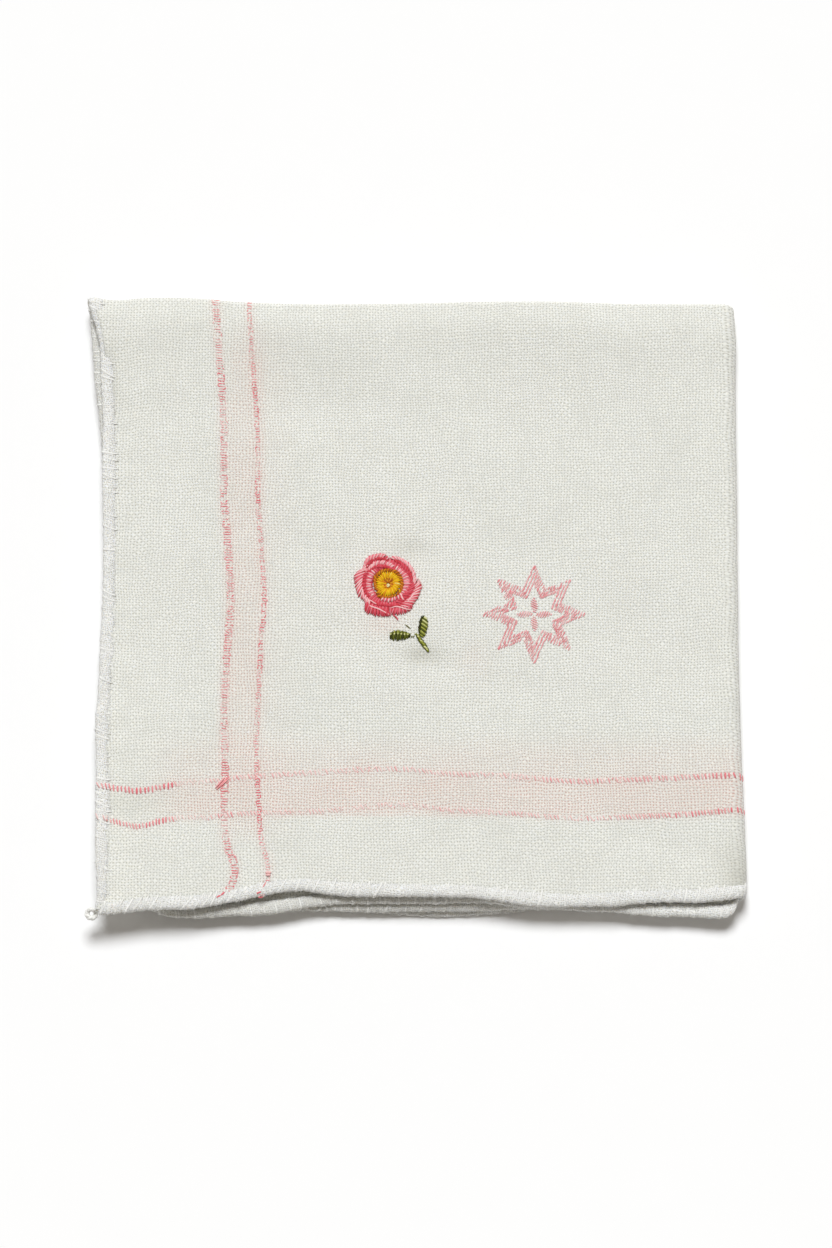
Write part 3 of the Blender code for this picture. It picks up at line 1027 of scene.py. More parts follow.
def small_strokes(surface: LinenSurface, strokes: tuple[tuple[float, ...], ...], sides: int = 6) -> MeshPlan:
    """Lay single stitches on the top layer.

    Args:
        surface: The linen.
        strokes: Each stitch's two plan points, its width and its tone.
        sides: Sides of a thread.

    Returns:
        The stitches as one plan.
    """
    table = np.array(strokes)
    start, end = surface.fold.flat(table[:, 0:2]), surface.fold.flat(table[:, 2:4])
    return stitches(surface, start, end, table[:, 4], 0.16, table[:, 5], base=0.02, sides=sides)


# The border lines' places on the top layer, and how strongly each one's thread shows there
COLUMNS = SmoothTable(
    "outer outer_strength inner inner_strength",
    (
        (-61.6, -36.9, 0.9, -29.8, 0.9),
        (-58.7, -35.4, 0.8, -28.7, 0.5),
        (-55.2, -35, 0.9, -28.4, 0.4),
        (-52, -36.2, 0.8, -29.2, 0.5),
        (-49.9, -36.7, 0.6, -29.8, 0.7),
        (-44.4, -37.1, 0.55, -30.2, 0.9),
        (-37.6, -37, 1, -30.6, 0.9),
        (-31.4, -37.2, 0.6, -30.9, 0.6),
        (-20.3, -37.3, 0.6, -30.6, 0.6),
        (-9.8, -36.8, 0.75, -30.2, 0.7),
        (0.6, -36.3, 0.6, -29.6, 0.75),
        (11.1, -36.9, 0.7, -30.3, 0.6),
        (20.9, -37.8, 0.75, -31, 0.75),
        (30.6, -37.9, 0.6, -31.1, 0.6),
        (40, -38.2, 0.5, -31.5, 0.8),
        (46.5, -38.6, 0.9, -31.9, 0.8),
        (54, -39.3, 0.5, -32.6, 0.5),
        (62.7, -39.9, 0.8, -33.1, 0.7),
    ),
)
ROWS = SmoothTable(
    "inner inner_strength outer outer_strength",
    (
        (-62, -39, 0.5, -45.6, 0.4),
        (-60.5, -39.2, 0.7, -45.9, 0.5),
        (-58, -39.5, 0.9, -46.6, 0.7),
        (-54.6, -40, 1, -47.4, 0.75),
        (-50, -39.3, 1, -46.4, 1),
        (-47.6, -38.7, 1, -45.8, 0.7),
        (-46.6, -38.5, 0.4, -45.6, 0.4),
        (-39.2, -37.8, 0.3, -45.3, 0.4),
        (-35.5, -37.3, 0.35, -44.8, 0.6),
        (-29.7, -36.8, 0.4, -44.4, 0.35),
        (-17.5, -35.8, 0.3, -43.9, 0.3),
        (-1.5, -35.3, 0.35, -42.6, 0.3),
        (6.4, -36.2, 0.35, -43.6, 0.3),
        (20.4, -36.8, 0.35, -44.5, 0.4),
        (30.2, -37.7, 0.5, -45.3, 0.4),
        (43.5, -37.4, 0.6, -45, 0.5),
        (54.7, -37, 0.6, -44.5, 0.7),
        (60, -36.8, 0.9, -44.1, 0.85),
        (64.8, -36.6, 1, -43.6, 0.9),
    ),
)


class Run(Enum):
    """Which way a border line runs."""

    COLUMN = "column"
    ROW = "row"


@dataclass(frozen=True)
class BorderLine:
    """One line of darned pink thread: bars across it, strong or faint, and rails along both of its sides.

    Rows and columns differ in how their bars lean and pale. Where the thread shows weakly its bars are
    shorter, thinner and paler, and fewer of them are whole.
    """

    run: Run
    column: str
    pitch: float
    bar: float
    thread: float
    whole: float
    rails: float
    sunk: float = -0.09
    hem_rise: float = 0.42
    past_right_fold: float = 60.0
    past_top_fold: float = 6.0
    fold_strength: float = 0.5
    jitter: float = 0.07
    row_lean: Pair = (0.04, 0.42)
    column_lean: Pair = (0.04, 0.16)
    row_shade: float = 1.12
    column_shade: float = 0.9
    paler: float = 0.45
    faint_share: float = 0.5
    faint_thread: float = 0.7
    rail_thread: float = 0.75
    dark_rails: float = 0.25
    bow: float = 0.10

    def lean(self, strength: Array, rng: Rng) -> Array:
        """Slant the bars: a row's all one way, and a column's either way, more where they are weak.

        Args:
            strength: How strongly each bar shows.
            rng: Draws the unevenness.

        Returns:
            How far each bar's ends lie along the line from its middle.
        """
        if self.run is Run.ROW:
            least, more = self.row_lean
            return -(least + more * (1 - strength)) * rng.uniform(0.5, 1.3, strength.size)
        least, more = self.column_lean
        return self.pitch * rng.normal(0, 1, strength.size) * (least + more * (1 - strength))

    def plan(self, surface: LinenSurface, under: bool, rng: Rng) -> MeshPlan:
        """Lay the bars along the line, on the top layer and over its fold, or on the layer that lies under.

        A bar that isn't whole leaves its two ends, or one of them, over a faint thin one. A row's last bars
        rise on to the hem.

        Args:
            surface: The linen.
            under: Whether a column lies on the bottom layer.
            rng: Draws the unevenness.

        Returns:
            The line as one mesh plan.
        """
        fold = surface.fold
        is_row = self.run is Run.ROW
        table = ROWS if is_row else COLUMNS
        total, beside = (fold.sum_x, fold.sum_y) if is_row else (fold.sum_y, fold.sum_x)
        last = total - table.rows[0][0]
        first = -(total + self.past_right_fold) if is_row else -self.past_top_fold
        count = round((last - first) / self.pitch)
        along = np.linspace(first, last, count) + rng.normal(0, self.jitter * self.pitch, count)
        strength = np.clip(table.read(f"{self.column}_strength", total - np.abs(along)), 0, 1)
        strength = np.where(along < -4, self.fold_strength, strength) * rng.uniform(0.75, 1.12, count)
        strength = np.clip(strength, 0, 1)
        across = beside - table.read(self.column, total - np.abs(along)) + rng.normal(0, 0.05, count)
        across = -across if under else across
        half = self.bar / 2 * (0.8 + 0.2 * strength) * rng.uniform(0.82, 1.12, count)
        lean = self.lean(strength, rng)
        width = self.thread * (0.62 + 0.38 * strength) * rng.uniform(0.85, 1.1, count)
        darkest = self.row_shade if is_row else self.column_shade
        shade = np.clip(darkest - strength + rng.normal(0, 0.12, count), 0, 1)
        pale = np.clip(shade + self.paler, 0, 1)
        whole = rng.random(count) < self.whole * (0.35 + 0.65 * strength)
        runs = [(across - half, along - lean, across + half, along + lean, whole, 1.0, shade)]
        faint = ~whole & (rng.random(count) < self.faint_share)
        thin = self.faint_thread
        runs.append((across - half, along + lean, across + half, along - lean, faint, thin, pale))
        for side in (-1, 1):
            shown = ~whole & (rng.random(count) < 0.30 + 0.50 * strength)
            inner = across + side * half * rng.uniform(-0.3, 0.6, count)
            slip = self.pitch * rng.normal(0, 0.2, count)
            runs.append((across + side * half, along - slip, inner, along + slip, shown, 1.0, shade))
            rail = (rng.random(count) < self.rails) & (np.arange(count) < count - 1)
            sides = across + side * half * rng.uniform(0.85, 1.05, count)
            tone = np.where(rng.random(count) < self.dark_rails * strength, shade, pale)
            runs.append((sides, along, np.roll(sides, -1), np.roll(along, -1), rail, self.rail_thread, tone))
        over_hem = ease((along - last + 3.0) / 1.5) if is_row else np.zeros(count)
        base = self.sunk + self.hem_rise * over_hem
        plans = []
        for from_across, from_along, to_across, to_along, shown, fine, tone in runs:
            start = np.stack([from_across, from_along], -1)[shown]
            end = np.stack([to_across, to_along], -1)[shown]
            if is_row:
                start, end = start[:, ::-1], end[:, ::-1]
            if len(start):
                thread = fine * width[shown]
                plans.append(stitches(surface, start, end, thread, self.bow, tone[shown], base[shown], 4, 5))
        return MeshPlan.joined(plans)


@dataclass
class BorderLines:
    """The pairs of pink lines that run inside the hem, and the loose ends where they cross and stop."""

    surface: LinenSurface
    lines: tuple[BorderLine, ...] = (
        BorderLine(Run.COLUMN, "outer", 0.54, 1.6, 0.31, 0.34, 0.42),
        BorderLine(Run.COLUMN, "inner", 0.56, 1.0, 0.34, 0.36, 0.46),
        BorderLine(Run.ROW, "inner", 0.76, 1.55, 0.48, 1.2, 0.0),
        BorderLine(Run.ROW, "outer", 0.64, 1.45, 0.42, 1.2, 0.0),
    )

    def plan(self, rng: Rng) -> MeshPlan:
        """Lay all lines, with the columns on the bottom layer too, and their ends.

        Args:
            rng: Draws the unevenness.

        Returns:
            The lines as one plan.
        """
        plans = [line.plan(self.surface, False, rng) for line in self.lines]
        plans += [line.plan(self.surface, True, rng) for line in self.lines if line.run is Run.COLUMN]
        return MeshPlan.joined(plans + [self.ends()])

    def ends(self) -> MeshPlan:
        """Lay the slanted stitches where the outer lines cross, and the last strokes by the front hem.

        Returns:
            These stitches as one plan.
        """
        return small_strokes(
            self.surface,
            (
                (-38.9, -39.3, -37.1, -37.1, 0.40, 0.5),
                (-38.7, -39.7, -36.5, -37.1, 0.44, 0.3),
                (-38.3, -39.3, -36.2, -37.3, 0.40, 0.45),
                (-36.9, -60.7, -37.6, -61.4, 0.40, 0.0),
                (-37.5, -61.3, -38.7, -61.9, 0.40, 0.05),
                (-28.7, -58.4, -29.6, -60.0, 0.30, 0.3),
                (-29.6, -60.4, -30.9, -61.0, 0.46, 0.0),
                (-28.9, -56.6, -27.8, -56.6, 0.60, 0.7),
                (-28.8, -57.1, -27.9, -57.1, 0.60, 0.7),
            ),
            sides=5,
        )


@dataclass(frozen=True)
class SatinRow:
    """A row of satin stitches round the rose: angles in degrees, with the row's inner and outer edge there.

    Light and dark stitches take turns, as painted highlight and painted shade; how far their tones lie from
    the row's own is set for each row.
    """

    angles: tuple[float, ...]
    inner: tuple[float, ...]
    outer: tuple[float, ...]
    tone: float
    painted_light_contrast: float = 0.2
    lean: float = 0.0
    base: float = 0.10
    pitch: float = 0.31
    rise: float = 0.2
    thread: float = 0.40
    spread: float = 0.08

    def plan(self, surface: LinenSurface, centre: Pair, rng: Rng) -> MeshPlan:
        """Stitch from the row's inner edge to its outer one, at even steps round the centre.

        Args:
            surface: The linen.
            centre: The plan place that the angles turn about.
            rng: Draws the unevenness.

        Returns:
            The row as one mesh plan.
        """
        edges = SmoothTable("inner outer", tuple(zip(self.angles, self.inner, self.outer)))
        span = math.radians(self.angles[-1] - self.angles[0])
        radius = (np.mean(self.inner) + np.mean(self.outer)) / 2
        count = max(3, round(abs(span) * radius / self.pitch))
        angle = np.linspace(self.angles[0], self.angles[-1], count)
        inner = edges.read("inner", angle) + rng.normal(0, 0.05, count)
        outer = edges.read("outer", angle) + rng.normal(0, 0.06, count)
        ends = []
        for turned, reach in ((angle + self.lean + rng.normal(0, 1.2, count), inner), (angle, outer)):
            way = np.radians(turned)
            ends.append(surface.fold.flat(np.stack([reach * np.cos(way), reach * np.sin(way)], -1) + centre))
        light = by_turns(count)
        # Painted highlight on every other stitch, and painted shade on the ones between
        tone = np.clip(self.tone + self.painted_light_contrast * light + rng.normal(0, self.spread, count), 0, 1)
        width = self.thread * (1 - 0.12 * light) * rng.uniform(0.88, 1.12, count)
        base = self.base + 0.05 * light
        return stitches(surface, ends[0], ends[1], width, self.rise, tone, base=base)


@dataclass(frozen=True)
class LaidThread:
    """A single thread laid over the stitches, through plan points round the rose's centre."""

    points: tuple[Pair, ...]
    tone: float
    thread: float = 0.26
    above: float = 0.42

    def plan(self, surface: LinenSurface, centre: Pair) -> MeshPlan:
        """Run a smooth curve through the points and sweep the thread along it.

        Args:
            surface: The linen.
            centre: The plan place that the points are counted from.

        Returns:
            The thread as one plan.
        """
        steps = np.linspace(0, 1, len(self.points))
        curve = SmoothTable("x y", tuple((step, *point) for step, point in zip(steps, self.points)))
        share = np.linspace(0, 1, 14)
        u, v = surface.fold.flat(np.stack([curve.read("x", share), curve.read("y", share)], -1) + centre).T
        above = self.above * swell(share, 0.35)
        path = surface.point(u, v, above)[None]
        up = unit(surface.point(u, v, above + 0.3)[None] - path)
        bulge = 0.5 + 0.5 * np.sin(math.pi * (0.1 + 0.8 * share))
        radii = np.full(path.shape[:2], self.thread / 2) * bulge
        return Threads(path, radii, up, np.array([self.tone])).plan()


@dataclass
class Rose:
    """The satin-stitched rose: rows of stitches for its petals, laid threads on their edges, and its eye."""

    surface: LinenSurface
    centre: Pair = (-4.9, 3.3)
    petals: tuple[SatinRow, ...] = (
        SatinRow(
            (-180, -163, -150, -138, -128, -110, -86, -70, -52, -26, 0)
            + (10, 45, 80, 92, 104, 125, 146, 158, 168, 180),
            (3.0,) * 21,
            (6.3, 6.2, 5.9, 5.7, 6.9, 6.8, 6.4, 6.5, 6.7, 6.3, 6.2, 5.4)
            + (5.7, 5.5, 5.8, 6.3, 6.6, 5.5, 6.3, 6.6, 6.3),
            tone=0.22,
            painted_light_contrast=0.18,
            base=-0.02,
            thread=0.46,
        ),
        SatinRow((140, 160, 180, 200, 216), (3.35,) * 5, (4.6, 4.5, 4.5, 4.45, 4.4), 0.68, 0.22),
        SatinRow(
            (-52, -30, -15, 0, 15, 34, 48, 62),
            (3.0,) * 8,
            (3.8, 3.9, 4.1, 4.5, 4.4, 4.3, 4.1, 4.3),
            tone=0.70, painted_light_contrast=0.22,
        ),
        SatinRow(
            (67, 90, 115, 130, 150),
            (2.8, 3.0, 3.5, 4.0, 4.3),
            (3.4, 3.8, 4.3, 4.75, 5.0),
            tone=0.06, painted_light_contrast=0.06, lean=-6, base=0.12,
        ),
        SatinRow(
            (72, 88, 100, 119, 134, 146),
            (3.4, 3.8, 4.3, 4.6, 4.6, 4.9),
            (4.1, 4.6, 5.05, 5.4, 5.35, 5.3),
            tone=0.84, painted_light_contrast=0.16, lean=8, base=0.14,
        ),
        SatinRow(
            (88, 99, 111, 124, 141),
            (4.5, 5.0, 5.3, 5.45, 5.35),
            (5.1, 5.7, 6.0, 6.1, 6.0),
            tone=0.05, painted_light_contrast=0.05, lean=5, base=0.16,
        ),
        SatinRow(
            (88, 95, 104, 113, 125, 143),
            (5.0, 5.45, 5.7, 5.95, 6.0, 5.6),
            (5.5, 6.3, 6.65, 6.85, 7.0, 6.1),
            tone=0.64, painted_light_contrast=0.22, lean=8, base=0.16,
        ),
        SatinRow(
            (7, 15, 34, 48, 62, 77),
            (4.55, 4.4, 4.3, 4.1, 4.5, 4.7),
            (5.0, 5.05, 5.25, 5.3, 5.4, 5.25),
            tone=0.06, painted_light_contrast=0.07, lean=-8, base=0.12,
        ),
        SatinRow(
            (6, 15, 28, 44, 58, 73, 86),
            (5.0, 5.0, 5.1, 5.2, 5.3, 5.3, 5.2),
            (5.6, 5.75, 5.84, 6.05, 5.95, 6.04, 5.7),
            tone=0.80, painted_light_contrast=0.18, lean=-10, base=0.16,
        ),
        SatinRow(
            (152, 166, 182, 197, 214),
            (4.7, 4.5, 4.4, 4.4, 4.4),
            (5.45, 5.3, 5.2, 5.2, 5.2),
            tone=0.05, painted_light_contrast=0.06, lean=-5, base=0.14,
        ),
        SatinRow(
            (150, 158, 168, 182, 197, 210, 218),
            (5.6, 5.3, 5.25, 5.2, 5.2, 5.2, 5.3),
            (5.9, 6.75, 7.0, 6.65, 6.5, 6.3, 5.8),
            tone=0.58, painted_light_contrast=0.34, lean=-17, base=0.14,
        ),
        SatinRow((-54, -41, -14, 7), (3.9, 3.6, 3.85, 4.6), (5.1, 5.0, 5.3, 5.6), 0.10, 0.10, -16, 0.16),
        SatinRow(
            (-49, -39, -26, -13, 0, 8),
            (5.0, 4.95, 5.0, 5.2, 5.4, 5.6),
            (6.65, 6.65, 6.65, 6.7, 6.6, 6.2),
            tone=0.52, painted_light_contrast=0.32, lean=-14, base=0.15,
        ),
        SatinRow((-112, -100, -80, -60, -46), (3.0,) * 5, (3.9, 3.9, 3.9, 4.0, 4.2), 0.66, 0.30, 4, 0.18),
        SatinRow(
            (-130, -110, -85, -62, -51),
            (4.7, 4.3, 4.2, 4.5, 4.9),
            (5.5, 5.05, 5.0, 5.4, 5.8),
            tone=0.05, painted_light_contrast=0.05, lean=-5, base=0.14,
        ),
        SatinRow(
            (-84, -77, -70, -58, -48),
            (5.1, 5.1, 5.1, 5.3, 5.6),
            (6.5, 6.6, 6.9, 7.1, 7.1),
            tone=0.30, painted_light_contrast=0.14, lean=8, base=0.1,
        ),
        SatinRow(
            (-138, -128, -117, -107, -97, -86),
            (5.0, 5.1, 5.0, 5.0, 5.0, 5.2),
            (6.2, 7.4, 7.2, 7.1, 6.9, 6.8),
            tone=0.22, painted_light_contrast=0.14, lean=-8, base=0.12,
        ),
        SatinRow((-145, -138, -130), (4.9, 4.9, 5.0), (5.8, 6.1, 5.8), 0.84, 0.14, -8, 0.16),
    )
    laid: tuple[LaidThread, ...] = (
        LaidThread(
            ((-4.04, -4.2), (-3.44, -4.73), (-2.04, -5.25), (-0.84, -5.88), (0.36, -6.51)), 1.0, 0.34
        ),
        LaidThread(((-4.4, -3.2), (-3.44, -3.57), (-2.64, -4.1), (-1.64, -4.41)), 0.95, 0.28),
        LaidThread(((0.56, -5.04), (1.56, -4.83), (2.56, -5.04), (3.56, -5.36), (4.56, -5.46)), 0.95, 0.36),
        LaidThread(((3.76, -3.99), (4.56, -2.94), (5.56, -1.68)), 1.0, 0.32),
        LaidThread(((2.5, -2.6), (2.85, -3.1), (3.16, -3.6)), 1.0, 0.36),
        LaidThread(((5.1, -0.7), (5.8, -0.2), (6.4, 0.45)), 1.0, 0.26),
        LaidThread(((4.9, 0.2), (5.5, 0.6), (6.0, 1.1)), 0.9, 0.24),
        LaidThread(((-4.9, -2.6), (-4.6, -3.2), (-4.1, -3.7)), 0.9, 0.24),
        LaidThread(((0.96, -6.5), (1.56, -6.93), (1.96, -7.6)), 0.25, 0.30, 0.25),
    )
    eye: tuple[SatinRow, ...] = (
        SatinRow(
            (-180, -123, -60, 0, 60, 120, 180),
            (0.3,) * 7,
            (2.6, 2.9, 2.6, 2.6, 2.7, 2.7, 2.6),
            tone=0.6,
            painted_light_contrast=0.05,
            base=0.05,
        ),
        SatinRow(
            (-180, -145, -124, -114, -90, -61, -31, 4, 59, 90, 141, 180),
            (2.3, 2.35, 2.7, 2.7, 2.6, 2.65, 2.5, 2.4, 2.5, 2.55, 2.5, 2.3),
            (2.85, 2.95, 3.6, 3.5, 3.0, 3.2, 3.2, 3.1, 3.35, 3.15, 3.3, 2.85),
            tone=0.20, painted_light_contrast=0.12, lean=12, base=0.16,
        ),
        SatinRow((-180, -124, -60, 60, 180), (1.2,) * 5, (2.4, 2.8, 2.5, 2.6, 2.4), 0.66, 0.12, 10, 0.22),
        SatinRow((-180, -60, 60, 180), (0.3,) * 4, (1.25, 1.25, 1.25, 1.25), 0.36, 0.14, 0, 0.2, rise=0.12),
        SatinRow(
            (48, 62, 118, 132), (0.1, 0.5, 0.5, 0.1), (1.5, 1.3, 1.3, 1.5), 0.08, 0.08, 0, 0.3, rise=0.12
        ),
    )
    knot: tuple[LaidThread, ...] = (
        LaidThread(
            ((-0.3, -0.45), (-0.05, -0.2), (0.2, -0.45), (-0.05, -0.7), (-0.28, -0.45)), 1.0, 0.36, 0.6
        ),
    )

    def petal_plan(self, rng: Rng) -> MeshPlan:
        """The petals' rows and the threads laid on them."""
        plans = [row.plan(self.surface, self.centre, rng) for row in self.petals]
        return MeshPlan.joined(plans + [thread.plan(self.surface, self.centre) for thread in self.laid])

    def eye_plan(self, rng: Rng) -> MeshPlan:
        """The yellow eye: a ring of orange stitches round yellow ones, with a pale knot in the middle."""
        plans = [row.plan(self.surface, self.centre, rng) for row in self.eye]
        return MeshPlan.joined(plans + [thread.plan(self.surface, self.centre) for thread in self.knot])


@dataclass(frozen=True)
class Leaf:
    """A lens of slanted satin stitches from one plan point to another, each stitch in two or three shades.

    Bands give the stitches' parts across the leaf: where a part starts and ends, from -1 at the leaf's right
    edge to 1 at its left, its tone, and how far light and dark parts lie from that as they take turns. The
    light and dark parts are painted highlight and painted shade.
    """

    start: Pair
    end: Pair
    width: float
    slant: float
    bands: tuple[Four, ...]
    pitch: float = 0.34
    fullness: float = 0.5
    taper: float = 0.0

    def plan(self, surface: LinenSurface, rng: Rng) -> MeshPlan:
        """Stitch across the lens, whose half width is a power of a half sine wave along it, less its taper.

        Args:
            surface: The linen.
            rng: Draws the unevenness.

        Returns:
            The leaf as one mesh plan.
        """
        begin, finish = np.array(self.start), np.array(self.end)
        length = math.hypot(*(finish - begin))
        ahead = (finish - begin) / length
        aside = np.array([-ahead[1], ahead[0]])
        count = max(4, round(length / self.pitch))
        share = np.linspace(0.04, 0.96, count)
        half = self.width / 2 * np.sin(math.pi * share) ** self.fullness * (1 - self.taper * share)
        half = half * rng.uniform(0.92, 1.08, count)
        middle = begin + np.outer(share, finish - begin)
        light = by_turns(count)
        plans = []
        for step, (low, high, tone, painted_light_contrast) in enumerate(self.bands):
            ends = []
            for edge in (low, high):
                place = middle + (edge * half)[:, None] * (aside + self.slant * ahead)
                ends.append(surface.fold.flat(place + rng.normal(0, 0.03, (count, 2))))
            # Painted highlight on every other stitch, and painted shade on the ones between
            shade = np.clip(tone + painted_light_contrast * light + rng.normal(0, 0.13, count), 0, 1)
            width = self.pitch * rng.uniform(1.0, 1.25, count)
            plans.append(stitches(surface, *ends, width, 0.2, shade, base=0.06 + 0.07 * step))
        return MeshPlan.joined(plans)


@dataclass
class Star:
    """The eight-pointed star: three rows of short pink dashes along its outline, and four small petals."""

    surface: LinenSurface
    centre: Pair = (24.3, -3.1)
    tip: float = 10.6
    notch: float = 5.75
    stroke: float = 1.5
    points: int = 8
    pitch: float = 0.56
    thread: float = 0.28
    dash: Pair = (0.42, 0.80)
    levels: tuple[float, ...] = (0.9, 0.5, 0.1)
    left_out: float = 0.07
    petal_length: float = 3.3
    petal_width: float = 1.5
    petal_stitches: int = 7
    rise: float = 0.09

    def ring_plan(self, rng: Rng) -> MeshPlan:
        """Lay rows of short dashes, all at one slant, between the star's outer edge and a smaller star's.

        Places along the outline are straight runs between tips and notches, taken in turn.

        Args:
            rng: Draws the unevenness.

        Returns:
            The rows as one plan.
        """
        angles = np.linspace(0, math.tau, 2 * self.points + 1)
        radii = np.where(np.arange(2 * self.points + 1) % 2 == 0, self.tip, self.notch)
        corner = np.stack([radii * np.cos(angles), radii * np.sin(angles)], -1)
        half_step = math.pi / self.points
        side = math.hypot(self.tip - self.notch * math.cos(half_step), self.notch * math.sin(half_step))
        shrink = 1 - self.stroke * side / (self.notch * math.sin(half_step)) / self.tip
        steps = round(side / self.pitch)
        share = (np.arange(steps)[None, :, None] + 0.5) / steps
        outline = (corner[:-1, None] + (corner[1:] - corner[:-1])[:, None] * share).reshape(-1, 2)
        count = len(outline)
        plans = []
        for level in self.levels:
            middle = outline * (shrink + (1 - shrink) * level) + rng.normal(0, 0.05, (count, 2))
            reach = np.multiply(self.dash, 0.5) * rng.uniform(0.75, 1.1, (count, 1))
            tone = np.clip(0.45 + rng.normal(0, 0.2, count), 0, 1)
            kept = rng.random(count) > self.left_out
            width = self.thread * rng.uniform(0.8, 1.1, count)
            plans.append(self.lay((middle - reach)[kept], (middle + reach)[kept], width[kept], tone[kept]))
        return MeshPlan.joined(plans)

    def heart_plan(self, rng: Rng) -> MeshPlan:
        """Lay four petals of slanted stitches, each a lens that points along its own arm of a cross.

        Args:
            rng: Draws the unevenness.

        Returns:
            The petals as one plan.
        """
        share = np.linspace(0.10, 0.95, self.petal_stitches)
        plans = []
        for turn in np.arange(4) * math.pi / 2:
            ahead = np.array([math.cos(turn), math.sin(turn)])
            aside = np.array([-ahead[1], ahead[0]])
            middle = (0.25 + share[:, None] * self.petal_length) * ahead
            half = self.petal_width / 2 * np.sin(math.pi * share)[:, None] ** 0.7
            tone = np.clip(0.45 + rng.normal(0, 0.2, len(share)), 0, 1)
            slanted = half * (aside + 0.5 * ahead)
            width = np.full(len(share), self.thread)
            plans.append(self.lay(middle - slanted, middle + slanted, width, tone))
        return MeshPlan.joined(plans)

    def lay(self, low: Array, high: Array, width: Array, tone: Array) -> MeshPlan:
        """Lay stitches between places round the star's centre.

        Args:
            low: Each stitch's first place.
            high: Each stitch's last place.
            width: Each thread's width.
            tone: Each thread's tone.

        Returns:
            The stitches as one plan.
        """
        start, end = (self.surface.fold.flat(place + self.centre) for place in (low, high))
        return stitches(self.surface, start, end, width, self.rise, tone, base=-0.03)


@dataclass
class LooseFibres:
    """Fine hairs: short fuzz all along the hem, and longer loose fibres at the front."""

    hem: RolledHem
    fuzz: int = 6400
    fuzz_length: float = 0.55
    fuzz_hair: float = 0.085
    fuzz_angles: Pair = (-0.9, 2.4)
    fuzz_lean: float = 0.5
    front_count: int = 28
    front_sides: Pair = (1.62, 1.99)
    corner_count: int = 12
    corner_sides: Pair = (1.03, 1.1)
    long_length: float = 2.6
    long_angles: Pair = (-0.5, 0.5)
    long_lean: float = 1.2
    hair: float = 0.035
    drift: float = 0.75

    def plan(self, rng: Rng) -> MeshPlan:
        """Grow hairs that leave the roll and bend over.

        Each is a run outward that slows down, plus a steady sideways drift.

        Args:
            rng: Draws the hairs' places and ways.

        Returns:
            The hairs as one plan.
        """
        side, fuzz, long_count = self.hem.side, self.fuzz, self.front_count + self.corner_count
        along = rng.uniform(0, 4 * side, fuzz)
        angle = rng.uniform(*self.fuzz_angles, fuzz)
        length = self.fuzz_length * rng.uniform(0.4, 1.5, fuzz)
        front = rng.uniform(*self.front_sides, self.front_count)
        front = np.concatenate([front, rng.uniform(*self.corner_sides, self.corner_count)])
        along = np.concatenate([along, side * front])
        angle = np.concatenate([angle, rng.uniform(*self.long_angles, long_count)])
        length = np.concatenate([length, self.long_length * rng.uniform(0.5, 1.3, long_count)])
        base = self.hem.on_roll(along, angle, -0.05)
        out = unit(self.hem.on_roll(along, angle, 0.3) - base)
        drift = self.drift * unit(rng.normal(0, 1, out.shape) * (1.0, 1.0, 0.4))
        lean = np.concatenate([np.full(fuzz, self.fuzz_lean), np.full(long_count, self.long_lean)])
        fine = np.full(long_count, self.hair)
        hair = np.concatenate([self.fuzz_hair * rng.uniform(0.5, 1.6, fuzz), fine])
        share = np.linspace(0, 1, 5)[None, :, None]
        outward = lean[:, None, None] * out[:, None] * (share - 0.5 * share**2)
        paths = base[:, None] + length[:, None, None] * (outward + drift[:, None] * share)
        paths[..., 2] = np.maximum(paths[..., 2], self.hair)
        radii = hair[:, None] / 2 * (1.1 - share[..., 0])
        up = np.broadcast_to(np.array([0.13, 0.07, 1.0]), paths.shape)
        return Threads(paths, radii, up, rng.uniform(0.3, 1.0, len(along)), 3, 1.0).plan()


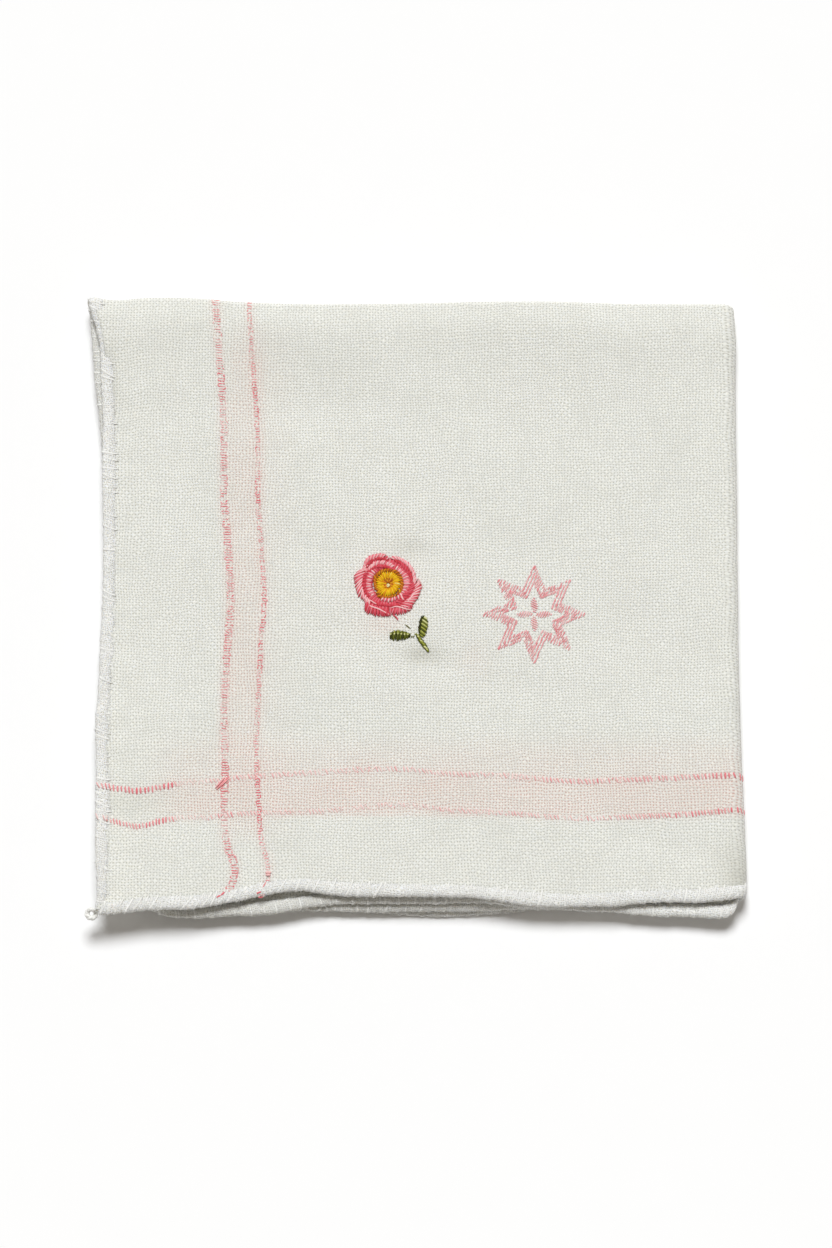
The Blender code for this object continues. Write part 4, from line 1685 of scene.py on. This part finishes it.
class Nodes:
    """A short way to place and join the nodes of one tree."""

    def __init__(self, tree: Tree) -> None:
        """Keep the tree."""
        self.tree = tree

    def add(
        self, kind: str, inputs: dict[str | int, object] | None = None, **settings: object
    ) -> bpy.types.Node:
        """Place a node, set its own settings, and feed its inputs with values or other nodes' outputs.

        Args:
            kind: The node's type.
            inputs: The inputs to feed, by name or number.
            settings: The node's own settings.

        Returns:
            The new node.
        """
        node = self.tree.nodes.new(kind)
        for name, value in settings.items():
            setattr(node, name, value)
        for name, value in (inputs or {}).items():
            self.feed(node.inputs[name], value)
        return node

    def feed(self, socket: Socket, value: object) -> None:
        """Link an output to an input, or set the input's own value."""
        if isinstance(value, Socket):
            self.tree.links.new(value, socket)
        else:
            socket.default_value = value

    def math(self, operation: str, *values: object) -> Socket:
        """One step of arithmetic on numbers."""
        return self.add("ShaderNodeMath", dict(enumerate(values)), operation=operation).outputs[0]

    def vector(self, operation: str, *values: object) -> Socket:
        """Place one step of arithmetic on vectors.

        Args:
            operation: What it does.
            values: What it works on, where the last value of a scaling is its factor.

        Returns:
            The result.
        """
        node = self.add("ShaderNodeVectorMath", operation=operation)
        targets = [node.inputs[0], node.inputs["Scale"] if operation == "SCALE" else node.inputs[1]]
        for socket, value in zip(targets, values):
            self.feed(socket, value)
        return node.outputs[0]

    def step(self, value: object, low: object, high: object) -> Socket:
        """A smooth step from 0 to 1 between two levels."""
        inputs = {"Value": value, "From Min": low, "From Max": high}
        return self.add("ShaderNodeMapRange", inputs, interpolation_type="SMOOTHSTEP").outputs["Result"]

    def noise(
        self, vector: object, scale: float, detail: float = 2.0, output: str = "Fac"
    ) -> Socket:
        """Soft noise, as a number or as a colour."""
        inputs = {"Vector": vector, "Scale": scale, "Detail": detail}
        return self.add("ShaderNodeTexNoise", inputs).outputs[output]

    def mix(
        self, share: object, first: object, second: object, blend: str = "MIX"
    ) -> Socket:
        """Mix two colours.

        Args:
            share: How much of the second one there is.
            first: The first colour.
            second: The second colour.
            blend: How they are mixed.

        Returns:
            The mixed colour.
        """
        node = self.add("ShaderNodeMix", data_type="RGBA", blend_type=blend)
        for index, value in ((0, share), (6, first), (7, second)):
            self.feed(node.inputs[index], value)
        return node.outputs[2]

    def separate(self, vector: object) -> list[Socket]:
        """A vector's three numbers."""
        return list(self.add("ShaderNodeSeparateXYZ", {"Vector": vector}).outputs)

    def combine(self, x: object, y: object, z: object) -> Socket:
        """A vector from three numbers."""
        return self.add("ShaderNodeCombineXYZ", {"X": x, "Y": y, "Z": z}).outputs[0]

    def group(self, tree: Tree, inputs: dict[str, object]) -> dict[str, Socket]:
        """Place a shader group and feed its inputs.

        Args:
            tree: The group.
            inputs: What feeds each input.

        Returns:
            Its outputs by name.
        """
        placed = self.add("ShaderNodeGroup", node_tree=tree)
        for label, value in inputs.items():
            self.feed(placed.inputs[label], value)
        return {socket.name: socket for socket in placed.outputs}

    def attribute(self, name: str) -> Socket:
        """A number that the mesh holds at its points."""
        return self.add("ShaderNodeAttribute", attribute_name=name).outputs["Fac"]

    def bump(self, height: object, strength: float, distance: float) -> Socket:
        """A normal tilted by a height."""
        inputs = {"Height": height, "Strength": strength, "Distance": distance}
        return self.add("ShaderNodeBump", inputs).outputs["Normal"]


def new_group(
    name: str, inputs: dict[str, str], outputs: tuple[str, ...]
) -> tuple[Tree, Nodes]:
    """Start a shader node group.

    Args:
        name: The group's name.
        inputs: Each input's name and its kind of socket.
        outputs: The names of its outputs, which are all numbers.

    Returns:
        The group's tree, and the helper that fills it.
    """
    tree = bpy.data.node_groups.new(name, "ShaderNodeTree")
    for label, kind in inputs.items():
        tree.interface.new_socket(label, in_out="INPUT", socket_type=kind)
    for label in outputs:
        tree.interface.new_socket(label, in_out="OUTPUT", socket_type="NodeSocketFloat")
    return tree, Nodes(tree)


def plain_weave() -> Tree:
    """The open plain weave, as a group.

    A place in millimetres is turned into a count of threads and shifted by slow and quick noise. A thread's
    body shows where the sine of half a turn for each thread is over the opening, which is uneven along every
    thread. Which of two crossing threads lies over the other follows the sign of the two sines' product, and
    so does the light that a crossing takes.

    Returns:
        A group with a height, a mask of the gaps between threads, and each thread's light and dark runs: its
        slubs, and painted light on the thread that lies over.
    """
    floats = dict.fromkeys(("Threads", "Wander", "Opening"), "NodeSocketFloat")
    given_as = {"Vector": "NodeSocketVector", **floats}
    tree, nodes = new_group("plain weave", given_as, ("Height", "Gap", "Run"))
    given = nodes.add("NodeGroupInput").outputs
    count = nodes.vector("SCALE", given["Vector"], given["Threads"])
    place = count
    for scale, reach in ((0.045, 3.2), (0.22, 1.3), (0.8, 0.5)):
        noise = nodes.vector("SUBTRACT", nodes.noise(count, scale, 2.0, "Color"), (0.5, 0.5, 0.5))
        moved = nodes.vector("SCALE", noise, nodes.math("MULTIPLY", given["Wander"], reach))
        place = nodes.vector("ADD", place, moved)
    across, down, _ = nodes.separate(place)
    bodies, sines, slubs = [], [], []
    for first, along, seed in ((across, down, 3.0), (down, across, 17.0)):
        sine = nodes.math("SINE", nodes.math("MULTIPLY", first, math.pi))
        slub = nodes.noise(nodes.combine(first, nodes.math("MULTIPLY", along, 0.14), seed), 0.9, 2.0)
        looseness = nodes.math("MULTIPLY_ADD", slub, 1.8, 0.1)
        opening = nodes.math("MULTIPLY", given["Opening"], looseness)
        low, high = nodes.math("MULTIPLY", opening, 0.4), nodes.math("ADD", opening, 0.45)
        bodies.append(nodes.step(nodes.math("ABSOLUTE", sine), low, high))
        sines.append(sine)
        slubs.append(slub)
    over = nodes.math("MULTIPLY", *sines)
    warp = nodes.math("MULTIPLY", bodies[0], nodes.math("MULTIPLY_ADD", over, 0.36, 0.64))
    weft = nodes.math("MULTIPLY", bodies[1], nodes.math("MULTIPLY_ADD", over, -0.36, 0.64))
    height = nodes.math("MAXIMUM", warp, weft)
    gap = nodes.math("MULTIPLY", *(nodes.math("SUBTRACT", 1.0, body) for body in bodies))
    # Painted light: the thread that lies over at a crossing is lighter, on top of the slubs' real unevenness
    upper = nodes.math("MULTIPLY_ADD", over, 0.5, 0.5)
    difference = nodes.math("MULTIPLY", upper, nodes.math("SUBTRACT", slubs[0], slubs[1]))
    uneven = nodes.math("MULTIPLY", nodes.math("ADD", slubs[1], difference), 0.75)
    run = nodes.math("ADD", uneven, nodes.math("MULTIPLY", upper, 0.25))
    nodes.add("NodeGroupOutput", {"Height": height, "Gap": gap, "Run": run})
    return tree


def thread_twist() -> Tree:
    """A thread's plies and fibres, as a group.

    The plies are a sine wave that turns round the thread as it goes along it, and the fibres are noise drawn
    out along the plies.

    Returns:
        A group with a height and the fibres' shade.
    """
    floats = dict.fromkeys(("Plies", "Turns"), "NodeSocketFloat")
    tree, nodes = new_group("thread twist", {"Vector": "NodeSocketVector", **floats}, ("Height", "Fibre"))
    given = nodes.add("NodeGroupInput").outputs
    along, around, _ = nodes.separate(given["Vector"])
    plies = nodes.math("MULTIPLY", around, given["Plies"])
    turn = nodes.math("ADD", plies, nodes.math("MULTIPLY", along, given["Turns"]))
    ply = nodes.math("ABSOLUTE", nodes.math("SINE", nodes.math("MULTIPLY", turn, math.pi)))
    drawn_out = nodes.combine(nodes.math("MULTIPLY", turn, 5.0), nodes.math("MULTIPLY", along, 0.8), 0.0)
    fibre = nodes.noise(drawn_out, 1.6, 3.0)
    height = nodes.math("MULTIPLY_ADD", fibre, 0.3, nodes.math("MULTIPLY", ply, 0.7))
    nodes.add("NodeGroupOutput", {"Height": height, "Fibre": fibre})
    return tree


def new_material(
    name: str, roughness: float, sheen: float
) -> tuple[Material, Nodes, bpy.types.Node]:
    """Start a material with one shader whose steady values are on its own sockets.

    Args:
        name: The material's name.
        roughness: Its roughness, where nothing is linked there.
        sheen: The weight of its sheen.

    Returns:
        The material, the helper that fills it, and its shader.
    """
    material = bpy.data.materials.new(name)
    material.use_nodes = True
    shader = material.node_tree.nodes["Principled BSDF"]
    shader.inputs["Roughness"].default_value = roughness
    shader.inputs["Sheen Weight"].default_value = sheen
    shader.inputs["Sheen Roughness"].default_value = 0.6
    shader.inputs["Specular IOR Level"].default_value = 0.25
    return material, Nodes(material.node_tree), shader


@dataclass(frozen=True)
class LinenFinish:
    """Matt off-white linen in an open plain weave, with painted shade in the gaps between its threads and a
    pink haze where the lines below show through.
    """

    name: str = "linen"
    thread: Colour = (0.912, 0.912, 0.850)
    low_run: float = 0.83
    # The grey of the painted shade in the gaps and under the shade mask, which also gives a faint real
    # mottle
    painted_shade_and_mottle: Colour = (0.40, 0.395, 0.33)
    haze: Colour = (0.70, 0.30, 0.25)
    pitch: float = 0.6
    wander: float = 1.0
    opening: float = 0.50
    gap_share: float = 0.69
    bump: float = 0.55
    translucency: float = 0.45
    scatter: Colour = (1.0, 0.95, 0.85)
    scatter_reach: float = 0.0006
    bump_depth: float = 0.00018
    roughness: float = 0.95
    crown_gloss: float = 0.12

    def build(self, weave: Tree) -> Material:
        """Make the material: painted shade in the weave's gaps, its slubs and painted light on its upper
        threads colour it, and its height feeds the bump.

        Args:
            weave: The plain weave's group.

        Returns:
            The material.
        """
        material, nodes, shader = new_material(self.name, self.roughness, 0.08)
        shader.inputs["Subsurface Weight"].default_value = self.translucency
        shader.inputs["Subsurface Radius"].default_value = self.scatter
        shader.inputs["Subsurface Scale"].default_value = self.scatter_reach
        flat = nodes.add("ShaderNodeUVMap", uv_map="along").outputs[0]
        values = {"Vector": flat, "Threads": 1 / self.pitch, "Wander": self.wander, "Opening": self.opening}
        woven = nodes.group(weave, values)
        painted_shade_and_mottle = (*self.painted_shade_and_mottle, 1)
        low = tuple(self.low_run * part for part in self.thread)
        # The threads' runs carry the slubs and painted light on the thread that lies over at each crossing
        light = nodes.mix(nodes.step(woven["Run"], 0.3, 0.7), (*low, 1), (*self.thread, 1))
        cloudy = nodes.math("MULTIPLY", nodes.step(nodes.noise(flat, 0.11, 3.0), 0.35, 0.65), 0.05)
        broad = nodes.mix(cloudy, light, painted_shade_and_mottle)
        # Painted shade in the gaps between the threads
        open_weave = nodes.mix(nodes.math("MULTIPLY", woven["Gap"], self.gap_share), broad, painted_shade_and_mottle)
        pink = nodes.math("MULTIPLY_ADD", woven["Gap"], 0.5, 0.15)
        share = nodes.math("MULTIPLY", nodes.attribute("haze"), pink)
        tinted = nodes.mix(share, open_weave, (*self.haze, 1))
        # The shade mask paints shade by greying the colour
        nodes.feed(shader.inputs["Base Color"], nodes.mix(nodes.attribute("shade"), tinted, painted_shade_and_mottle))
        rough = nodes.math("MULTIPLY_ADD", woven["Height"], -self.crown_gloss, self.roughness)
        nodes.feed(shader.inputs["Roughness"], rough)
        nodes.feed(shader.inputs["Normal"], nodes.bump(woven["Height"], self.bump, self.bump_depth))
        return material


@dataclass(frozen=True)
class ThreadFinish:
    """Soft twisted cotton thread, whose tone runs through a few colours from stitch to stitch."""

    name: str
    tones: tuple[tuple[float, Colour], ...]
    roughness: float = 0.65
    sheen: float = 0.05
    plies: float = 2.0
    turns: float = 1.3
    bump: float = 0.5
    depth: float = 0.00006

    def build(self, twist: Tree) -> Material:
        """Make the material: the stitch's tone picks the colour, and the fibres vary it.

        The plies feed the bump, and painted shade darkens the seams between them.

        Args:
            twist: The twist's group.

        Returns:
            The material.
        """
        material, nodes, shader = new_material(self.name, self.roughness, self.sheen)
        run = nodes.add("ShaderNodeUVMap", uv_map="along").outputs[0]
        twisted = nodes.group(twist, {"Vector": run, "Plies": self.plies, "Turns": self.turns})
        fibre = nodes.math("MULTIPLY_ADD", twisted["Fibre"], 0.40, -0.20)
        uneven = nodes.math("ADD", nodes.attribute("tone"), fibre)
        ramp = nodes.add("ShaderNodeValToRGB", {"Fac": uneven})
        while len(ramp.color_ramp.elements) < len(self.tones):
            ramp.color_ramp.elements.new(0.5)
        for stop, (place, colour) in zip(ramp.color_ramp.elements, self.tones):
            stop.position = place
            stop.color = (*colour, 1)
        # Painted shade darkens the thread in the seams between its plies
        seam = nodes.step(twisted["Height"], 0.05, 0.45)
        dark = nodes.mix(1.0, ramp.outputs["Color"], (0.82, 0.78, 0.78, 1), "MULTIPLY")
        nodes.feed(shader.inputs["Base Color"], nodes.mix(seam, dark, ramp.outputs["Color"]))
        rough = nodes.math("MULTIPLY_ADD", twisted["Fibre"], 0.3, self.roughness - 0.15)
        nodes.feed(shader.inputs["Roughness"], rough)
        nodes.feed(shader.inputs["Normal"], nodes.bump(twisted["Height"], self.bump, self.depth))
        return material


WHITE_TONES = ((0.0, (0.80, 0.80, 0.76)), (0.4, (0.89, 0.89, 0.85)), (1.0, (0.93, 0.93, 0.90)))
ROSE_TONES = (
    (0.0, (0.60, 0.035, 0.055)),
    (0.35, (0.73, 0.11, 0.155)),
    (0.70, (0.86, 0.33, 0.36)),
    (1.0, (0.93, 0.57, 0.57)),
)
EYE_TONES = (
    (0.0, (0.28, 0.085, 0.004)),
    (0.3, (0.64, 0.16, 0.004)),
    (0.6, (0.78, 0.42, 0.003)),
    (0.9, (0.90, 0.62, 0.01)),
    (1.0, (0.94, 0.86, 0.48)),
)
LEAF_TONES = (
    (0.0, (0.03, 0.035, 0.002)),
    (0.5, (0.15, 0.17, 0.01)),
    (0.8, (0.38, 0.40, 0.06)),
    (1.0, (0.76, 0.76, 0.38)),
)
LINE_TONES = ((0.0, (0.81, 0.18, 0.21)), (0.5, (0.87, 0.42, 0.42)), (1.0, (0.92, 0.73, 0.69)))
STAR_TONES = ((0.0, (0.80, 0.24, 0.26)), (0.5, (0.86, 0.42, 0.43)), (1.0, (0.90, 0.66, 0.64)))


@dataclass
class Studio:
    """A pale floor, a soft sun from the back and a camera at the photograph's angle."""

    origin: Array
    aim: Three = (0.65, -3.3, 0.0)
    elevation: float = 72.0
    distance: float = 1200.0
    focal_pixels: float = 6000.0
    frame_height: float = 1248.0
    floor_half: float = 2500.0
    floor_colour: float = 0.95
    floor_grain: float = 0.004
    sky: float = 0.235
    sky_colour: Colour = (1.0, 0.92, 0.82)
    sun: float = 2.97
    sun_colour: Colour = (0.953, 0.972, 0.992)
    sun_elevation: float = 64.5
    sun_azimuth: float = -4.0
    sun_softness: float = 26.0

    def build(self) -> None:
        """Make the floor, the light and the camera."""
        self.floor()
        self.light()
        self.camera()

    def floor(self) -> None:
        """A wide level square that the cloth lies on."""
        half = self.floor_half * MM
        mesh = bpy.data.meshes.new("floor")
        corners = [(-half, -half, 0), (half, -half, 0), (half, half, 0), (-half, half, 0)]
        mesh.from_pydata(corners, [], [(0, 1, 2, 3)])
        material, nodes, shader = new_material("floor paper", 0.95, 0.0)
        place = nodes.add("ShaderNodeTexCoord").outputs["Object"]
        grain = nodes.step(nodes.noise(place, 90.0, 2.0), 0.2, 0.8)
        low, high = self.floor_colour - self.floor_grain, self.floor_colour
        paper = nodes.mix(grain, (low, low, low, 1), (high, high, high, 1))
        nodes.feed(shader.inputs["Base Color"], paper)
        shader.inputs["Specular IOR Level"].default_value = 0.0
        mesh.materials.append(material)
        made = bpy.data.objects.new("floor", mesh)
        bpy.context.scene.collection.objects.link(made)

    def light(self) -> None:
        """An even, slightly warm sky, and a broad sun at the back, a little to the right."""
        scene = bpy.context.scene
        scene.world = bpy.data.worlds.new("studio sky")
        scene.world.use_nodes = True
        sky = scene.world.node_tree.nodes["Background"]
        sky.inputs["Color"].default_value = (*self.sky_colour, 1.0)
        sky.inputs["Strength"].default_value = self.sky
        sun = bpy.data.lights.new("window", "SUN")
        sun.energy = self.sun
        sun.color = self.sun_colour
        sun.angle = math.radians(self.sun_softness)
        lamp = bpy.data.objects.new("window", sun)
        lamp.rotation_euler = (math.radians(self.sun_elevation - 90), 0.0, math.radians(-self.sun_azimuth))
        scene.collection.objects.link(lamp)
        scene.view_settings.view_transform = "Standard"
        scene.view_settings.look = "None"
        # The denoiser's guides stay as they are, because filtering them would wipe out the fine weave
        scene.cycles.denoising_prefilter = "NONE"

    def camera(self) -> None:
        """The camera, from the front and well above, with its lens set by the frame's height in pixels."""
        scene = bpy.context.scene
        camera = bpy.data.cameras.new("camera")
        camera.sensor_fit = "VERTICAL"
        camera.sensor_height = 36.0
        camera.lens = self.focal_pixels / self.frame_height * camera.sensor_height
        camera.clip_end = 20.0
        angle = math.radians(self.elevation)
        made = bpy.data.objects.new("camera", camera)
        aim = np.array(self.aim) - self.origin
        made.location = (aim + self.distance * np.array([0.0, -math.cos(angle), math.sin(angle)])) * MM
        made.rotation_euler = (math.pi / 2 - angle, 0.0, 0.0)
        scene.collection.objects.link(made)
        scene.camera = made


def frame_origin(rose: Rose) -> Array:
    """Find the table place of the frame's origin, from where the rose's eye lies in both.

    Args:
        rose: The rose, whose centre is on the table.

    Returns:
        The origin's place, at the table's height.
    """
    low, high = (np.array(corner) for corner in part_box("rose_centre"))
    middle = (low + high) / 2 / MM
    return np.array([rose.centre[0] - middle[0], rose.centre[1] - middle[1], 0.0])


@dataclass
class Handkerchief:
    """The whole handkerchief: its linen, hem, lines and worked thread."""

    surface: LinenSurface
    rose: Rose
    origin: Array

    def linen(self, weave: Tree, twist: Tree) -> None:
        """Build the sheet, its rolled hem, the whipping, the curl and the loose fibres.

        Args:
            weave: The plain weave's group.
            twist: The twist's group.
        """
        rng = np.random.default_rng(SEED)
        hem = RolledHem(self.surface)
        white = ThreadFinish("white thread", WHITE_TONES, roughness=0.75, turns=1.6).build(twist)
        plain = LinenFinish().build(weave)
        rolled = LinenFinish(
            "rolled linen",
            thread=(0.975, 0.975, 0.945),
            low_run=0.87,
            painted_shade_and_mottle=(0.50, 0.49, 0.43),
            pitch=0.50,
            wander=2.4,
            gap_share=0.75,
            bump=0.8,
            translucency=0.5,
        ).build(weave)
        sheet = ClothSheet(self.surface).plan().build("linen_sheet", self.origin, plain)
        roll = hem.roll().build("hem_roll", self.origin, rolled)
        whipping = hem.whipping(rng).build("hem_whipping", self.origin, white)
        curl = HemCurl(self.surface).plan().build("hem_curl", self.origin, white)
        fibres = LooseFibres(hem).plan(rng).build("loose_fibres", self.origin, white)
        for piece in (sheet, roll, whipping, curl, fibres):
            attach(piece, "root")
        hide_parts("cloth")

    def worked(self, twist: Tree) -> None:
        """Build the border lines, the rose with its leaves and stem, and the star.

        Args:
            twist: The twist's group.
        """
        rng = np.random.default_rng(SEED + 1)
        pink = ThreadFinish("rose thread", ROSE_TONES, roughness=0.6).build(twist)
        yellow = ThreadFinish("eye thread", EYE_TONES, roughness=0.6, sheen=0.0).build(twist)
        green = ThreadFinish("leaf thread", LEAF_TONES, roughness=0.6, sheen=0.0).build(twist)
        line = ThreadFinish("line thread", LINE_TONES).build(twist)
        pale = ThreadFinish("star thread", STAR_TONES).build(twist)
        star = Star(self.surface)
        low = Leaf(
            (-4.55, -7.5),
            (-0.5, -7.55),
            width=2.6,
            slant=0.1,
            bands=((-1.0, 1.0, 0.16, 0.10), (0.25, 1.0, 0.50, 0.14), (0.1, 0.5, 0.66, 0.34)),
            pitch=0.35,
            fullness=0.32,
            taper=0.42,
        )
        tall = Leaf(
            (1.7, -7.7),
            (2.5, -3.7),
            width=1.85,
            slant=0.5,
            bands=((-1.0, 1.0, 0.62, 0.26), (0.5, 1.05, 0.08, 0.06)),
            pitch=0.36,
            fullness=0.30,
        )
        stem = Leaf(
            (0.85, -7.3),
            (3.1, -10.9),
            width=0.85,
            slant=1.6,
            bands=((-1.0, 1.0, 0.28, 0.2), (-0.5, 0.5, 0.85, 0.1)),
            pitch=0.36,
        )
        sprigs = small_strokes(
            self.surface,
            (
                (-1.5, -5.2, -0.4, -6.1, 0.20, 0.35),
                (-0.35, -7.9, -0.05, -7.6, 0.22, 0.4),
                (0.05, -7.9, 0.3, -7.55, 0.22, 0.5),
                (0.35, -7.3, 0.8, -7.05, 0.22, 0.75),
            ),
        )
        lines = BorderLines(self.surface).plan(rng)
        petals, eye = self.rose.petal_plan(rng), self.rose.eye_plan(rng)
        leaves = [leaf.plan(self.surface, rng) for leaf in (low, tall, stem)]
        stem_plan = MeshPlan.joined([leaves[2], sprigs])
        ring, heart = star.ring_plan(rng), star.heart_plan(rng)
        made = (
            ("border_lines", lines, line, "pink_thread", None),
            ("rose_stitches", petals, pink, "pink_thread", "rose_petals"),
            ("rose_eye", eye, yellow, "yellow_thread", "rose_centre"),
            ("low_leaf_stitches", leaves[0], green, "green_thread", "leaf_low"),
            ("tall_leaf_stitches", leaves[1], green, "green_thread", "leaf_tall"),
            ("stem_stitches", stem_plan, green, "green_thread", "stem"),
            ("star_stitches", ring, pale, "pale_pink_thread", "star_ring"),
            ("star_heart_stitches", heart, pale, "pale_pink_thread", "star_heart"),
        )
        for name, plan, finish, slot, node in made:
            piece = plan.build(name, self.origin, finish)
            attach(piece, "root")
            if node is not None:
                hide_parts(node)


def main() -> None:
    """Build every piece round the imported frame."""
    logging.basicConfig(level=logging.INFO, format="%(name)s: %(message)s")
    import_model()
    surface = LinenSurface(FoldMap())
    rose = Rose(surface)
    origin = frame_origin(rose)
    Studio(origin).build()
    handkerchief = Handkerchief(surface, rose, origin)
    weave, twist = plain_weave(), thread_twist()
    handkerchief.linen(weave, twist)
    handkerchief.worked(twist)
    bpy.context.view_layer.update()


if __name__ == "__main__":
    main()
